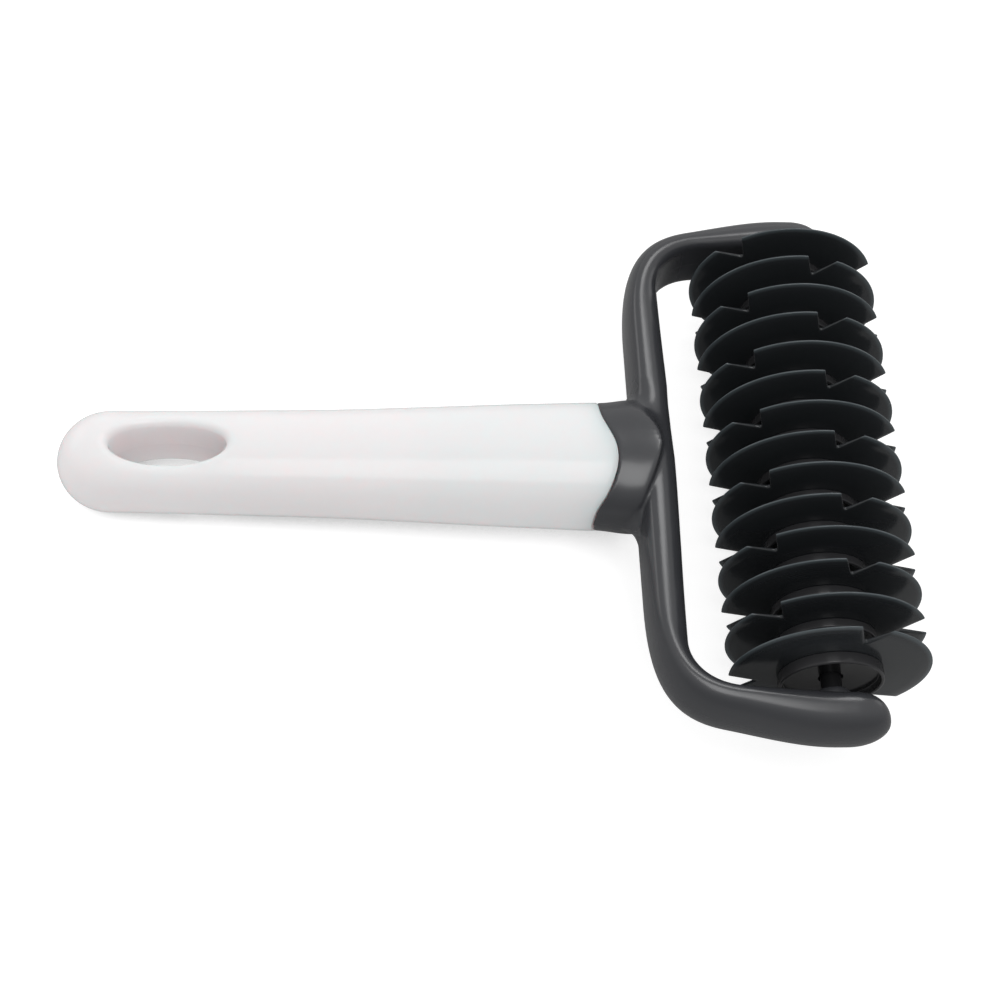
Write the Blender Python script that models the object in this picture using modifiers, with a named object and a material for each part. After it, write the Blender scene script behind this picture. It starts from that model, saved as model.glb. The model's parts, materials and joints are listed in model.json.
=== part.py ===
"""Lattice roller cutter: a white handle, a dark grey fork and a roller of notched discs.

The pieces are modelled with the axle along Y through the world origin and the handle along -X.
At the end the whole cutter is tilted until it stands on its discs and on the tail of its
handle, and moved so that the middle of its footprint is the origin. All lengths are in metres.
"""

import math

import bmesh
import bpy
import numpy as np
from mathutils import Matrix, Vector
from mathutils.geometry import interpolate_bezier

# Discs: every second one is turned by half a notch spacing
DISC_COUNT = 14
DISC_PITCH = 0.00798
DISC_RADIUS = 0.022
DISC_HUB_THICKNESS = 0.0011
DISC_RIM_THICKNESS = 0.0004
DISC_FLAT_MARGIN = 0.001
DISC_STEPS = 48
NOTCH_COUNT = 3
NOTCH_DEPTH = 0.0065
NOTCH_WIDTH = 0.0079
NOTCH_ANGLE_DEG = 135.2
DISC_SLACK_DEG = (-1.1, 0, -0.6, -0.6, 0, -0.3, 0.6, -0.7, -0.6, 0.7, -0.1, 2.6, 2.0, -1.0)

# Spacers between the discs and end hubs: a shallow cup round a core
STACK_GAP = 0.0003
RING_RADIUS = 0.0112
RING_WALL = 0.0011
RING_REACH = 0.0026
RING_FLOOR = 0.0006
CORE_WALL = 0.0009
SPACER_STEPS = 24

# Axle: a hexagonal rod with a round journal at each end
HEX_SIDES = 6
HEX_ACROSS_FLATS = 0.007
HEX_CLEARANCE = 0.0003
HEX_END_SHARE = 0.6
JOURNAL_RADIUS = 0.0023
JOURNAL_CLEARANCE = 0.0002
JOURNAL_END_PLAY = 0.0004
JOURNAL_DEPTH_SHARE = 0.47
ROUND_STEPS = 24

# Fork: a bar with two arms, flat inside and rounded outside
END_SPACE = 0.00753
BOSS_WALL = 0.0014
BOSS_HEIGHT = 0.003
BOSS_PLAY = 0.0003
BAR_CLEARANCE = 0.0083
BAR_THICKNESS = 0.0091
FORK_HALF_HEIGHT = 0.008
BAR_BOW = 0.0008
BAR_CROWN_SHARE = 0.55
BAR_EDGE_DROP = 0.0045
ARM_CROWN_SHARE = 0.27
ARM_EDGE_DROP = 0.002
ARM_THICKNESS = 0.009
ARM_SPLAY = 0.0015
INNER_BEND_RADIUS = 0.0095
OUTER_BEND_ALONG_BAR = 0.0194
OUTER_BEND_ALONG_ARM = 0.0154
OUTER_BEND_OFFSET = 0.0045
OUTER_PULL_SHARE = 0.58
OUTER_LIFT_SHARE = 1.5
TIP_REACH = 0.0123
TIP_THINNING_START = 0.002
TIP_ROUND_START = 0.0032
TIP_PLACE_SHARES = (0, 0.28, 0.52, 0.7, 0.83, 0.92, 0.97, 0.995)
BAR_STEPS = 4
BEND_STEPS = 7
ARM_STEPS = 4
CROWN_STEPS = 8
EDGE_STEPS = 3

# Collar: the barrel of the fork that takes the handle, with a flared root on the bar
COLLAR_NOSE = 0.0047
COLLAR_BAND = 0.0094
COLLAR_ARC_RADIUS = 0.0245
COLLAR_FLARE = 0.0009
SHOULDER_RADIUS = 0.0015
SHOULDER_STEPS = 3
ROOT_FILLET = 0.0035
ROOT_HEIGHT_SHARE = 0.93
ROOT_STEPS = 5

# Tang: the tongue of the fork inside the handle
TANG_LENGTH = 0.043
TANG_WIDTH = 0.014
TANG_HEIGHT = 0.009
TANG_TIP_SHARE = 0.85
TANG_BURY = 0.002
TANG_CLEARANCE = 0.0003

# Handle: an oval grip that thins to its tail, with a hanging hole
HANDLE_LENGTH = 0.125
HANDLE_JOINT_GAP = 0.0003
HEAD_HALF_WIDTH = 0.0151
HANDLE_HEIGHT_SHARE = 0.79
HANDLE_WIDTH_SHARES = (0.777, 0.787, 0.8, 0.814, 0.828, 0.852, 0.888, 0.924, 0.958, 0.982, 1)
HANDLE_ROUNDNESS = 2.2
HANDLE_SIDES = 28
HEAD_BEND_LENGTH = 0.02
HEAD_DROP = 0.00045
TAIL_RISE = 0.00075
TAIL_ROUND_LENGTH = 0.0111
TAIL_FIRST_DEG = 9
TAIL_STEPS = 6
HOLE_FROM_TAIL = 0.0250
HOLE_LENGTH = 0.0228
HOLE_WIDTH = 0.0098
HOLE_DRAFT = 0.0008
HOLE_RIM = 0.0014
HOLE_ROUNDNESS = 2.4

# Finishes: name, colour, roughness and metallic value
WHITE_GLOSS = ("white_gloss_plastic", (0.86, 0.85, 0.85, 1), 0.18, 0)
GREY_SATIN = ("grey_satin_plastic", (0.062, 0.065, 0.07, 1), 0.42, 0)
BLACK_DISC = ("black_disc_plastic", (0.012, 0.014, 0.016, 1), 0.3, 0)
BLACK_SPACER = ("black_spacer_plastic", (0.014, 0.014, 0.016, 1), 0.28, 0)
BLACK_AXLE = ("black_axle_plastic", (0.016, 0.016, 0.018, 1), 0.4, 0)

# Making and standing
CUT_OVERRUN = 0.002
MERGE_DISTANCE = 0.00001
SHARP_ANGLE_DEG = 30
CIRCLE_PULL_SHARE = 0.5523
REST_SAMPLES = 200
REST_HALVINGS = 40

# Places worked out from the sizes above
DISC_HALF = DISC_HUB_THICKNESS / 2
HEX_CORNER_RADIUS = HEX_ACROSS_FLATS / math.sqrt(3)
SPACER_BORE = HEX_CORNER_RADIUS + HEX_CLEARANCE
CORE_RADIUS = SPACER_BORE + CORE_WALL
DISC_FLAT_RADIUS = RING_RADIUS + DISC_FLAT_MARGIN
JOURNAL_BORE = JOURNAL_RADIUS + JOURNAL_CLEARANCE
BOSS_RADIUS = JOURNAL_BORE + BOSS_WALL
ROLLER_HALF_LENGTH = (DISC_COUNT - 1) * DISC_PITCH / 2
ARM_INSIDE = ROLLER_HALF_LENGTH + END_SPACE
BOSS_FACE = ARM_INSIDE - BOSS_HEIGHT
BORE_END = ARM_INSIDE + ARM_THICKNESS * JOURNAL_DEPTH_SHARE
BAR_FRONT = -DISC_RADIUS - BAR_CLEARANCE
BAR_BACK = BAR_FRONT - BAR_THICKNESS
NOSE = BAR_BACK + COLLAR_NOSE
COLLAR_BACK = NOSE - COLLAR_BAND
HEAD = COLLAR_BACK - HANDLE_JOINT_GAP
TAIL = HEAD - HANDLE_LENGTH
TAIL_CENTRE = TAIL + TAIL_ROUND_LENGTH
HOLE_CENTRE = TAIL + HOLE_FROM_TAIL

ALONG_Y = Matrix.Rotation(math.pi / 2, 4, "X")


def clear_scene():
    """Removes whatever objects the file already holds."""
    for obj in list(bpy.data.objects):
        bpy.data.objects.remove(obj, do_unlink=True)


def make_collection(name):
    """A new collection in the scene."""
    collection = bpy.data.collections.new(name)
    bpy.context.scene.collection.children.link(collection)
    return collection


def make_material(finish):
    """A Principled material with a finish's colour, roughness and metallic value."""
    name, color, roughness, metallic = finish
    material = bpy.data.materials.new(name)
    material.use_nodes = True
    shader = material.node_tree.nodes["Principled BSDF"]
    shader.inputs["Base Color"].default_value = color
    shader.inputs["Roughness"].default_value = roughness
    shader.inputs["Metallic"].default_value = metallic
    return material


def blend(low, high, share):
    """The value a share of the way between two values."""
    return low + (high - low) * share


def ease(share):
    """A share between nothing and one, slowed at both ends."""
    share = min(max(share, 0), 1)
    return share * share * (3 - 2 * share)


def add_object(name, mesh, collection):
    """A mesh object in a collection."""
    obj = bpy.data.objects.new(name, mesh)
    collection.objects.link(obj)
    return obj


def object_from_bmesh(name, shape, collection):
    """Turns a bmesh into an object with outward faces."""
    bmesh.ops.recalc_face_normals(shape, faces=shape.faces)
    mesh = bpy.data.meshes.new(name)
    shape.to_mesh(mesh)
    shape.free()
    return add_object(name, mesh, collection)


def give_finish(mesh, material):
    """Gives a mesh its material and smooth shading with sharp edges."""
    mesh.materials.clear()
    mesh.materials.append(material)
    mesh.shade_smooth()
    mesh.set_sharp_from_angle(angle=math.radians(SHARP_ANGLE_DEG))


def cut_or_join(target, other, operation):
    """Adds an exact Boolean with an object that is itself left out of the model."""
    other.display_type = "WIRE"
    other.hide_render = True
    modifier = target.modifiers.new(other.name, "BOOLEAN")
    modifier.operation = operation
    modifier.solver = "EXACT"
    modifier.object = other


def applied_mesh(obj):
    """The mesh of an object with its modifiers or its curve made real, faces outwards."""
    bpy.context.view_layer.update()
    evaluated = obj.evaluated_get(bpy.context.evaluated_depsgraph_get())
    mesh = bpy.data.meshes.new_from_object(evaluated)
    shape = bmesh.new()
    shape.from_mesh(mesh)
    bmesh.ops.remove_doubles(shape, verts=shape.verts, dist=MERGE_DISTANCE)
    bmesh.ops.recalc_face_normals(shape, faces=shape.faces)
    shape.to_mesh(mesh)
    shape.free()
    return mesh


def strip_cap(shape, loop):
    """Closes a loop that is alike above and below its middle with upright strips."""
    count = len(loop)
    for i in range(count // 2):
        corners = (loop[i], loop[i + 1], loop[(count - i - 1) % count], loop[(count - i) % count])
        shape.faces.new(dict.fromkeys(corners))


def loft(name, sections, collection, strips=False):
    """A closed skin over sections that have the same number of points."""
    shape = bmesh.new()
    loops = [[shape.verts.new(point) for point in section] for section in sections]
    for this, after in zip(loops, loops[1:]):
        for i in range(len(this)):
            j = (i + 1) % len(this)
            shape.faces.new((this[i], this[j], after[j], after[i]))
    for loop in (loops[0], loops[-1]):
        if strips:
            strip_cap(shape, loop)
        else:
            shape.faces.new(loop)
    return object_from_bmesh(name, shape, collection)


def turned_mesh(name, profile, closed, steps, collection, cutter=None):
    """A mesh turned about its local Z axis from points of radius and height."""
    shape = bmesh.new()
    points = [shape.verts.new((radius, 0, height)) for radius, height in profile]
    for a, b in zip(points, points[1:] + points[:1] if closed else points[1:]):
        shape.edges.new((a, b))
    mesh = bpy.data.meshes.new(name)
    shape.to_mesh(mesh)
    shape.free()
    obj = add_object(name, mesh, collection)
    screw = obj.modifiers.new("turn", "SCREW")
    screw.steps = steps
    screw.render_steps = steps
    screw.use_merge_vertices = True
    screw.merge_threshold = MERGE_DISTANCE
    if cutter:
        cut_or_join(obj, cutter, "DIFFERENCE")
    result = applied_mesh(obj)
    bpy.data.objects.remove(obj, do_unlink=True)
    return result


def plate(name, outlines, thickness, collection):
    """A flat piece, centred on its thickness, from closed outlines in the local XY plane."""
    curve = bpy.data.curves.new(name, "CURVE")
    curve.dimensions = "2D"
    curve.fill_mode = "BOTH"
    curve.extrude = thickness / 2
    for outline in outlines:
        spline = curve.splines.new("POLY")
        spline.points.add(len(outline) - 1)
        for point, (x, y) in zip(spline.points, outline):
            point.co = (x, y, 0, 1)
        spline.use_cyclic_u = True
    guide = add_object(name + "_outline", curve, collection)
    result = add_object(name, applied_mesh(guide), collection)
    bpy.data.objects.remove(guide, do_unlink=True)
    return result


def rod(name, radius, low, high, sides, collection, corner=0.0):
    """A prism or cylinder along Y between two places, with a corner at an angle from +X."""
    shape = bmesh.new()
    bmesh.ops.create_cone(
        shape, cap_ends=True, segments=sides, radius1=radius, radius2=radius, depth=high - low
    )
    turn = Matrix.Rotation(corner - math.pi / 2, 4, "Z")
    place = Matrix.Translation((0, (low + high) / 2, 0))
    bmesh.ops.transform(shape, matrix=place @ ALONG_Y @ turn, verts=shape.verts)
    return object_from_bmesh(name, shape, collection)


def oval(half_width, half_height, roundness, sides):
    """Points of a squared oval, starting at its widest point."""
    points = []
    for i in range(sides):
        angle = math.tau * i / sides
        across, up = math.cos(angle), math.sin(angle)
        width = math.copysign(abs(across) ** (2 / roundness), across)
        height = math.copysign(abs(up) ** (2 / roundness), up)
        points.append((half_width * width, half_height * height))
    return points


# Roller


def disc_mesh(cutters):
    """One notched disc about its local Z axis, thinner at its rim, with a hexagonal bore."""
    rim_half = DISC_RIM_THICKNESS / 2
    profile = (
        (0, DISC_HALF),
        (DISC_FLAT_RADIUS, DISC_HALF),
        (DISC_RADIUS, rim_half),
        (DISC_RADIUS, -rim_half),
        (DISC_FLAT_RADIUS, -DISC_HALF),
        (0, -DISC_HALF),
    )
    corner = (HEX_ACROSS_FLATS + HEX_CLEARANCE * 2) / math.sqrt(3)
    hexagon = []
    for i in range(HEX_SIDES):
        angle = math.tau * i / HEX_SIDES
        hexagon.append((corner * math.cos(angle), corner * math.sin(angle)))
    outlines = [hexagon]
    root = DISC_RADIUS - NOTCH_DEPTH
    mouth = DISC_RADIUS + CUT_OVERRUN
    half_mouth = (mouth - root) * NOTCH_WIDTH / 2 / NOTCH_DEPTH
    for i in range(NOTCH_COUNT):
        turn = Matrix.Rotation(math.tau * i / NOTCH_COUNT, 2)
        corners = ((root, 0), (mouth, half_mouth), (mouth, -half_mouth))
        outlines.append([turn @ Vector(point) for point in corners])
    cutter = plate("disc_cuts", outlines, DISC_HUB_THICKNESS + CUT_OVERRUN, cutters)
    mesh = turned_mesh("cutter_disc", profile, False, DISC_STEPS, cutters, cutter)
    bpy.data.objects.remove(cutter, do_unlink=True)
    return mesh


def hub_mesh(name, reach, cutters):
    """A cup with a core that reaches on, measured from the middle of the disc it stands on."""
    base = DISC_HALF + STACK_GAP
    floor = base + RING_FLOOR
    inside = RING_RADIUS - RING_WALL
    profile = (
        (SPACER_BORE, reach),
        (CORE_RADIUS, reach),
        (CORE_RADIUS, floor),
        (inside, floor),
        (inside, RING_REACH),
        (RING_RADIUS, RING_REACH),
        (RING_RADIUS, base),
        (SPACER_BORE, base),
    )
    return turned_mesh(name, profile, True, SPACER_STEPS, cutters)


def disc_place(number):
    """Where a disc's middle lies along the axle: the first is farthest towards +Y."""
    return ROLLER_HALF_LENGTH - number * DISC_PITCH


def disc_turn(number):
    """The angle from +X towards +Z of a disc's first notch, with its slack on the axle."""
    step = math.pi / NOTCH_COUNT * (number % 2)
    slack = math.radians(DISC_SLACK_DEG[number % len(DISC_SLACK_DEG)])
    return math.radians(NOTCH_ANGLE_DEG) - step + slack


def stand_on_axle(name, mesh, y, turn, parts, towards_far=False):
    """A piece made about its local Z axis, set on the axle with its top towards -Y or +Y."""
    obj = add_object(name, mesh, parts)
    if towards_far:
        obj.rotation_euler = (-math.pi / 2, turn, 0)
    else:
        obj.rotation_euler = (math.pi / 2, -turn, 0)
    obj.location = (0, y, 0)
    return obj


def build_axle(parts, cutters):
    """The hexagonal rod that turns the discs, with its two journals."""
    hex_end = ROLLER_HALF_LENGTH + blend(DISC_HALF, END_SPACE - BOSS_HEIGHT, HEX_END_SHARE)
    tip = BORE_END - JOURNAL_END_PLAY
    corner = math.radians(NOTCH_ANGLE_DEG)
    axle = rod("hex_axle", HEX_CORNER_RADIUS, -hex_end, hex_end, HEX_SIDES, parts, corner)
    journal = rod("journals", JOURNAL_RADIUS, -tip, tip, ROUND_STEPS, cutters)
    cut_or_join(axle, journal, "UNION")
    give_finish(axle.data, make_material(BLACK_AXLE))
    return axle


def build_roller(parts, cutters):
    """Discs, the spacers between them, a hub at each end and the axle."""
    disc = disc_mesh(cutters)
    spacer = hub_mesh("spacer", DISC_PITCH - DISC_HALF - STACK_GAP, cutters)
    end_hub = hub_mesh("end_hub", END_SPACE - BOSS_HEIGHT - BOSS_PLAY, cutters)
    give_finish(disc, make_material(BLACK_DISC))
    spacer_material = make_material(BLACK_SPACER)
    give_finish(spacer, spacer_material)
    give_finish(end_hub, spacer_material)
    pieces = [build_axle(parts, cutters)]
    for number in range(DISC_COUNT):
        y = disc_place(number)
        turn = disc_turn(number)
        label = f"{number + 1:02d}"
        pieces.append(stand_on_axle("cutter_disc_" + label, disc, y, turn, parts))
        if number < DISC_COUNT - 1:
            pieces.append(stand_on_axle("spacer_" + label, spacer, y, 0, parts))
    near_end, far_end = disc_place(DISC_COUNT - 1), disc_place(0)
    pieces.append(stand_on_axle("end_hub_near", end_hub, near_end, 0, parts))
    pieces.append(stand_on_axle("end_hub_far", end_hub, far_end, 0, parts, towards_far=True))
    return pieces


# Fork


def bend(start, start_pull, end_pull, end, steps):
    """Points along a cubic curve in plan, without its last point."""
    corners = [Vector(point) for point in (start, start_pull, end_pull, end)]
    return [tuple(point) for point in interpolate_bezier(*corners, steps + 1)][:-1]


def inner_rail():
    """Plan points of the inner side of half the fork, from the bar's middle to the axle."""
    bar_x = BAR_FRONT - BAR_BOW
    arm_x = bar_x + INNER_BEND_RADIUS
    arm_y = ARM_INSIDE - ARM_SPLAY
    bend_y = arm_y - INNER_BEND_RADIUS
    pull = INNER_BEND_RADIUS * CIRCLE_PULL_SHARE
    slope = ARM_SPLAY / -arm_x
    rail = []
    for i in range(BAR_STEPS):
        share = i / BAR_STEPS
        rail.append((BAR_FRONT - BAR_BOW * ease(share), bend_y * share))
    rail += bend(
        (bar_x, bend_y),
        (bar_x, bend_y + pull),
        (arm_x - pull, arm_y - pull * slope),
        (arm_x, arm_y),
        BEND_STEPS,
    )
    for i in range(ARM_STEPS):
        share = i / ARM_STEPS
        rail.append((blend(arm_x, 0, share), blend(arm_y, ARM_INSIDE, share)))
    return rail


def outer_rail():
    """Plan points of the outer side of half the fork, in step with the inner side."""
    bend_y = ARM_INSIDE - OUTER_BEND_ALONG_BAR
    arm_x = BAR_BACK + OUTER_BEND_ALONG_ARM
    arm_y = ARM_INSIDE + OUTER_BEND_OFFSET
    outside = ARM_INSIDE + ARM_THICKNESS
    slope = (outside - arm_y) / -arm_x * OUTER_LIFT_SHARE
    pull_bar = (arm_y - bend_y) * OUTER_PULL_SHARE
    pull_arm = OUTER_BEND_ALONG_ARM * OUTER_PULL_SHARE
    pull_top = -arm_x / 3
    rail = [(BAR_BACK, bend_y * i / BAR_STEPS) for i in range(BAR_STEPS)]
    rail += bend(
        (BAR_BACK, bend_y),
        (BAR_BACK, bend_y + pull_bar),
        (arm_x - pull_arm, arm_y - pull_arm * slope),
        (arm_x, arm_y),
        BEND_STEPS,
    )
    rail += bend(
        (arm_x, arm_y),
        (arm_x + pull_top, arm_y + pull_top * slope),
        (-pull_top, outside),
        (0, outside),
        ARM_STEPS,
    )
    return rail


def fork_section(inner, outer, half_height, crown_share, edge_drop):
    """An upright section between two plan points: flat inside, rounded outside."""
    crown = []
    for i in range(CROWN_STEPS + 1):
        angle = math.pi / 2 - math.pi * i / CROWN_STEPS
        across = blend(crown_share, 1, math.cos(angle))
        crown.append((across, half_height * math.sin(angle)))
    under_edge = []
    for i in range(1, EDGE_STEPS + 1):
        angle = math.pi / 2 * i / EDGE_STEPS
        across = crown_share * (1 - math.sin(angle))
        under_edge.append((across, -half_height + edge_drop * (1 - math.cos(angle))))
    upper_edge = [(across, -height) for across, height in reversed(under_edge)]
    inner, outer = Vector(inner), Vector(outer)
    points = crown + under_edge + upper_edge
    return [Vector((*inner.lerp(outer, across), height)) for across, height in points]


def rounded_off(x, start, full):
    """A size that is full up to a start and rounds off to nothing at the arm's tip."""
    share = max(x - start, 0) / (TIP_REACH - start)
    return full * math.sqrt(1 - share * share)


def fork_sections():
    """Sections of half the fork, from the middle of its bar to the tip of its arm."""
    sections = []
    for i, (inner, outer) in enumerate(zip(inner_rail(), outer_rail())):
        bent = ease((i - BAR_STEPS) / BEND_STEPS)
        crown = blend(BAR_CROWN_SHARE, ARM_CROWN_SHARE, bent)
        drop = blend(BAR_EDGE_DROP, ARM_EDGE_DROP, bent)
        sections.append(fork_section(inner, outer, FORK_HALF_HEIGHT, crown, drop))
    for share in TIP_PLACE_SHARES:
        x = TIP_REACH * share
        width = rounded_off(x, TIP_THINNING_START, ARM_THICKNESS)
        height = rounded_off(x, TIP_ROUND_START, FORK_HALF_HEIGHT)
        drop = ARM_EDGE_DROP * height / FORK_HALF_HEIGHT
        inner, outer = (x, ARM_INSIDE), (x, ARM_INSIDE + width)
        sections.append(fork_section(inner, outer, height, ARM_CROWN_SHARE, drop))
    return sections


def middle_height(x):
    """Height of the handle's middle line, which rises a little from the collar to the tail."""
    return blend(-HEAD_DROP, TAIL_RISE, (HEAD - x) / HANDLE_LENGTH)


def upright_oval(x, half_width, half_height, bent=1.0):
    """An upright oval across the handle, its sides bent back along the collar's arc."""
    points = []
    for y, z in oval(half_width, half_height, HANDLE_ROUNDNESS, HANDLE_SIDES):
        sag = COLLAR_ARC_RADIUS - math.sqrt(COLLAR_ARC_RADIUS**2 - y * y)
        points.append(Vector((x - sag * bent, y, middle_height(x) + z)))
    return points


def build_collar(cutters):
    """The barrel that carries on the handle's shape and ends in a shoulder over the bar."""
    plain_end = NOSE - SHOULDER_RADIUS
    places = [(COLLAR_BACK, 0), ((COLLAR_BACK + plain_end) / 2, 0)]
    for i in range(SHOULDER_STEPS + 1):
        angle = math.pi / 2 * i / SHOULDER_STEPS
        drop = SHOULDER_RADIUS * (1 - math.cos(angle))
        places.append((plain_end + SHOULDER_RADIUS * math.sin(angle), drop))
    sections = []
    for x, drop in places:
        flare = COLLAR_FLARE * ease((x - COLLAR_BACK) / (plain_end - COLLAR_BACK))
        half_width = HEAD_HALF_WIDTH + flare
        half_height = half_width * HANDLE_HEIGHT_SHARE
        sections.append(upright_oval(x, half_width - drop, half_height - drop))
    return loft("collar", sections, cutters, strips=True)


def build_root(cutters):
    """The foot of the collar, which widens into the bar's back in a round corner."""
    start = BAR_BACK - ROOT_FILLET
    half_height = FORK_HALF_HEIGHT * ROOT_HEIGHT_SHARE
    sections = []
    for i in range(ROOT_STEPS + 1):
        angle = math.pi / 2 * i / ROOT_STEPS
        x = start + ROOT_FILLET * math.sin(angle)
        half_width = HEAD_HALF_WIDTH + COLLAR_FLARE + ROOT_FILLET * (1 - math.cos(angle))
        sections.append(upright_oval(x, half_width, half_height, bent=0))
    inside = BAR_BACK + SHOULDER_RADIUS
    sections.append(upright_oval(inside, half_width, half_height, bent=0))
    return loft("collar_root", sections, cutters, strips=True)


def tang_section(x, clearance):
    """The tang's rectangle at a place along the handle, grown by a clearance."""
    share = blend(1, TANG_TIP_SHARE, (HEAD - x) / TANG_LENGTH)
    half_width = TANG_WIDTH / 2 * share + clearance
    half_height = TANG_HEIGHT / 2 * share + clearance
    corners = ((1, -1), (1, 1), (-1, 1), (-1, -1))
    return [Vector((x, half_width * a, middle_height(x) + half_height * b)) for a, b in corners]


def build_tang(name, start, clearance, cutters):
    """The tang from a place in the collar to its tip, or the socket round it."""
    end = HEAD - TANG_LENGTH - clearance
    return loft(name, [tang_section(start, clearance), tang_section(end, clearance)], cutters)


def build_fork(parts, cutters):
    """Bar, arms, bosses, collar and tang as one moulding, with a blind bore in each boss."""
    half = fork_sections()
    mirrored = [[Vector((p.x, -p.y, p.z)) for p in section] for section in half[:0:-1]]
    fork = loft("fork_frame", mirrored + half, parts)
    joined = [build_root(cutters), build_collar(cutters)]
    joined.append(build_tang("tang", COLLAR_BACK + TANG_BURY, 0, cutters))
    bores = []
    for side, label in ((1, "far"), (-1, "near")):
        ends = sorted((side * BOSS_FACE, side * (ARM_INSIDE + BOSS_WALL)))
        joined.append(rod("boss_" + label, BOSS_RADIUS, *ends, ROUND_STEPS, cutters))
        ends = sorted((side * (BOSS_FACE - CUT_OVERRUN), side * BORE_END))
        bores.append(rod("bore_" + label, JOURNAL_BORE, *ends, ROUND_STEPS, cutters))
    for piece in joined:
        cut_or_join(fork, piece, "UNION")
    for bore in bores:
        cut_or_join(fork, bore, "DIFFERENCE")
    give_finish(fork.data, make_material(GREY_SATIN))
    return fork


# Handle


def handle_half_width(x):
    """Half the width of the handle, which thins to its tail and ends in a half round."""
    places = np.linspace(TAIL_CENTRE, HEAD, len(HANDLE_WIDTH_SHARES))
    width = HEAD_HALF_WIDTH * float(np.interp(x, places, HANDLE_WIDTH_SHARES))
    past = max(TAIL_CENTRE - x, 0) / TAIL_ROUND_LENGTH
    return width * math.sqrt(max(1 - past * past, 0))


def handle_places():
    """Places of the handle's sections, closer together round the tail."""
    places = []
    for i in range(TAIL_STEPS):
        angle = math.radians(blend(TAIL_FIRST_DEG, 90, i / TAIL_STEPS))
        places.append(TAIL_CENTRE - TAIL_ROUND_LENGTH * math.cos(angle))
    return places + [float(x) for x in np.linspace(TAIL_CENTRE, HEAD, len(HANDLE_WIDTH_SHARES))]


def build_hole_cutter(cutters):
    """An oval plug for the hanging hole, narrowest at the middle and wider at both rims."""
    half_height = handle_half_width(HOLE_CENTRE) * HANDLE_HEIGHT_SHARE
    over = half_height + CUT_OVERRUN
    rim = half_height - HOLE_RIM
    wide = HOLE_DRAFT + HOLE_RIM + CUT_OVERRUN
    levels = ((-over, wide), (-rim, HOLE_DRAFT), (0, 0), (rim, HOLE_DRAFT), (over, wide))
    sections = []
    for height, grow in levels:
        outline = oval(HOLE_LENGTH / 2 + grow, HOLE_WIDTH / 2 + grow, HOLE_ROUNDNESS, HANDLE_SIDES)
        z = middle_height(HOLE_CENTRE) + height
        sections.append([Vector((HOLE_CENTRE + x, y, z)) for x, y in outline])
    return loft("hanging_hole", sections, cutters)


def build_handle(parts, cutters):
    """The white grip with its hanging hole and the socket for the fork's tang."""
    sections = []
    for x in handle_places():
        half_width = handle_half_width(x)
        bent = ease((x - HEAD + HEAD_BEND_LENGTH) / HEAD_BEND_LENGTH)
        sections.append(upright_oval(x, half_width, half_width * HANDLE_HEIGHT_SHARE, bent))
    handle = loft("handle_grip", sections, parts, strips=True)
    cut_or_join(handle, build_hole_cutter(cutters), "DIFFERENCE")
    socket = build_tang("tang_socket", HEAD + CUT_OVERRUN, TANG_CLEARANCE, cutters)
    cut_or_join(handle, socket, "DIFFERENCE")
    give_finish(handle.data, make_material(WHITE_GLOSS))
    return handle


# Standing the cutter on its discs and its tail


def lowest_of_handle(tilt):
    """Lowest height of the handle's underside when its tail is tilted down."""
    lowest = 0
    for x in np.linspace(TAIL, HEAD, REST_SAMPLES):
        under = middle_height(x) - handle_half_width(x) * HANDLE_HEIGHT_SHARE
        lowest = min(lowest, x * math.sin(tilt) + under * math.cos(tilt))
    return lowest


def rest_tilt():
    """The tilt at which the handle's tail is as low as the discs."""
    low, high = 0, math.pi / 4
    for _ in range(REST_HALVINGS):
        middle = (low + high) / 2
        if lowest_of_handle(middle) > -DISC_RADIUS:
            low = middle
        else:
            high = middle
    return low


def stand(pieces, frame):
    """Tilts the cutter and puts the middle of its footprint at the origin."""
    frame.rotation_euler = (0, -rest_tilt(), 0)
    bpy.context.view_layer.update()
    graph = bpy.context.evaluated_depsgraph_get()
    corners = []
    for obj in pieces:
        evaluated = obj.evaluated_get(graph)
        corners += [evaluated.matrix_world @ vertex.co for vertex in evaluated.data.vertices]
    low = np.min(corners, axis=0)
    high = np.max(corners, axis=0)
    frame.location = (-(low[0] + high[0]) / 2, -(low[1] + high[1]) / 2, -low[2])


def main():
    """Builds the whole cutter."""
    clear_scene()
    parts = make_collection("lattice_roller_cutter")
    cutters = make_collection("cutters")
    frame = bpy.data.objects.new("cutter_frame", None)
    roller_axis = bpy.data.objects.new("roller_axis", None)
    parts.objects.link(frame)
    parts.objects.link(roller_axis)
    roller_axis.parent = frame
    fixed = [build_handle(parts, cutters), build_fork(parts, cutters)]
    roller = build_roller(parts, cutters)
    for obj in fixed + list(cutters.objects):
        obj.parent = frame
    for obj in roller:
        obj.parent = roller_axis
    stand(fixed + roller, frame)


main()
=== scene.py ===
"""Looks of a lattice roller cutter: glossy white handle, satin grey fork, roller of notched discs.

Every piece is made in millimetres in the cutter's own frame: the axle lies along Y through the
origin, the handle points along -X and the moulds part at Z = 0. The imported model's joint and
hanging hole give the standing place in which all pieces are then laid.
"""

import json
import logging
import math
from collections.abc import Iterable, Sequence
from dataclasses import dataclass, field
from enum import Enum

import bmesh
import bpy
from mathutils import Euler, Matrix, Vector
from mathutils.geometry import interpolate_bezier


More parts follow.
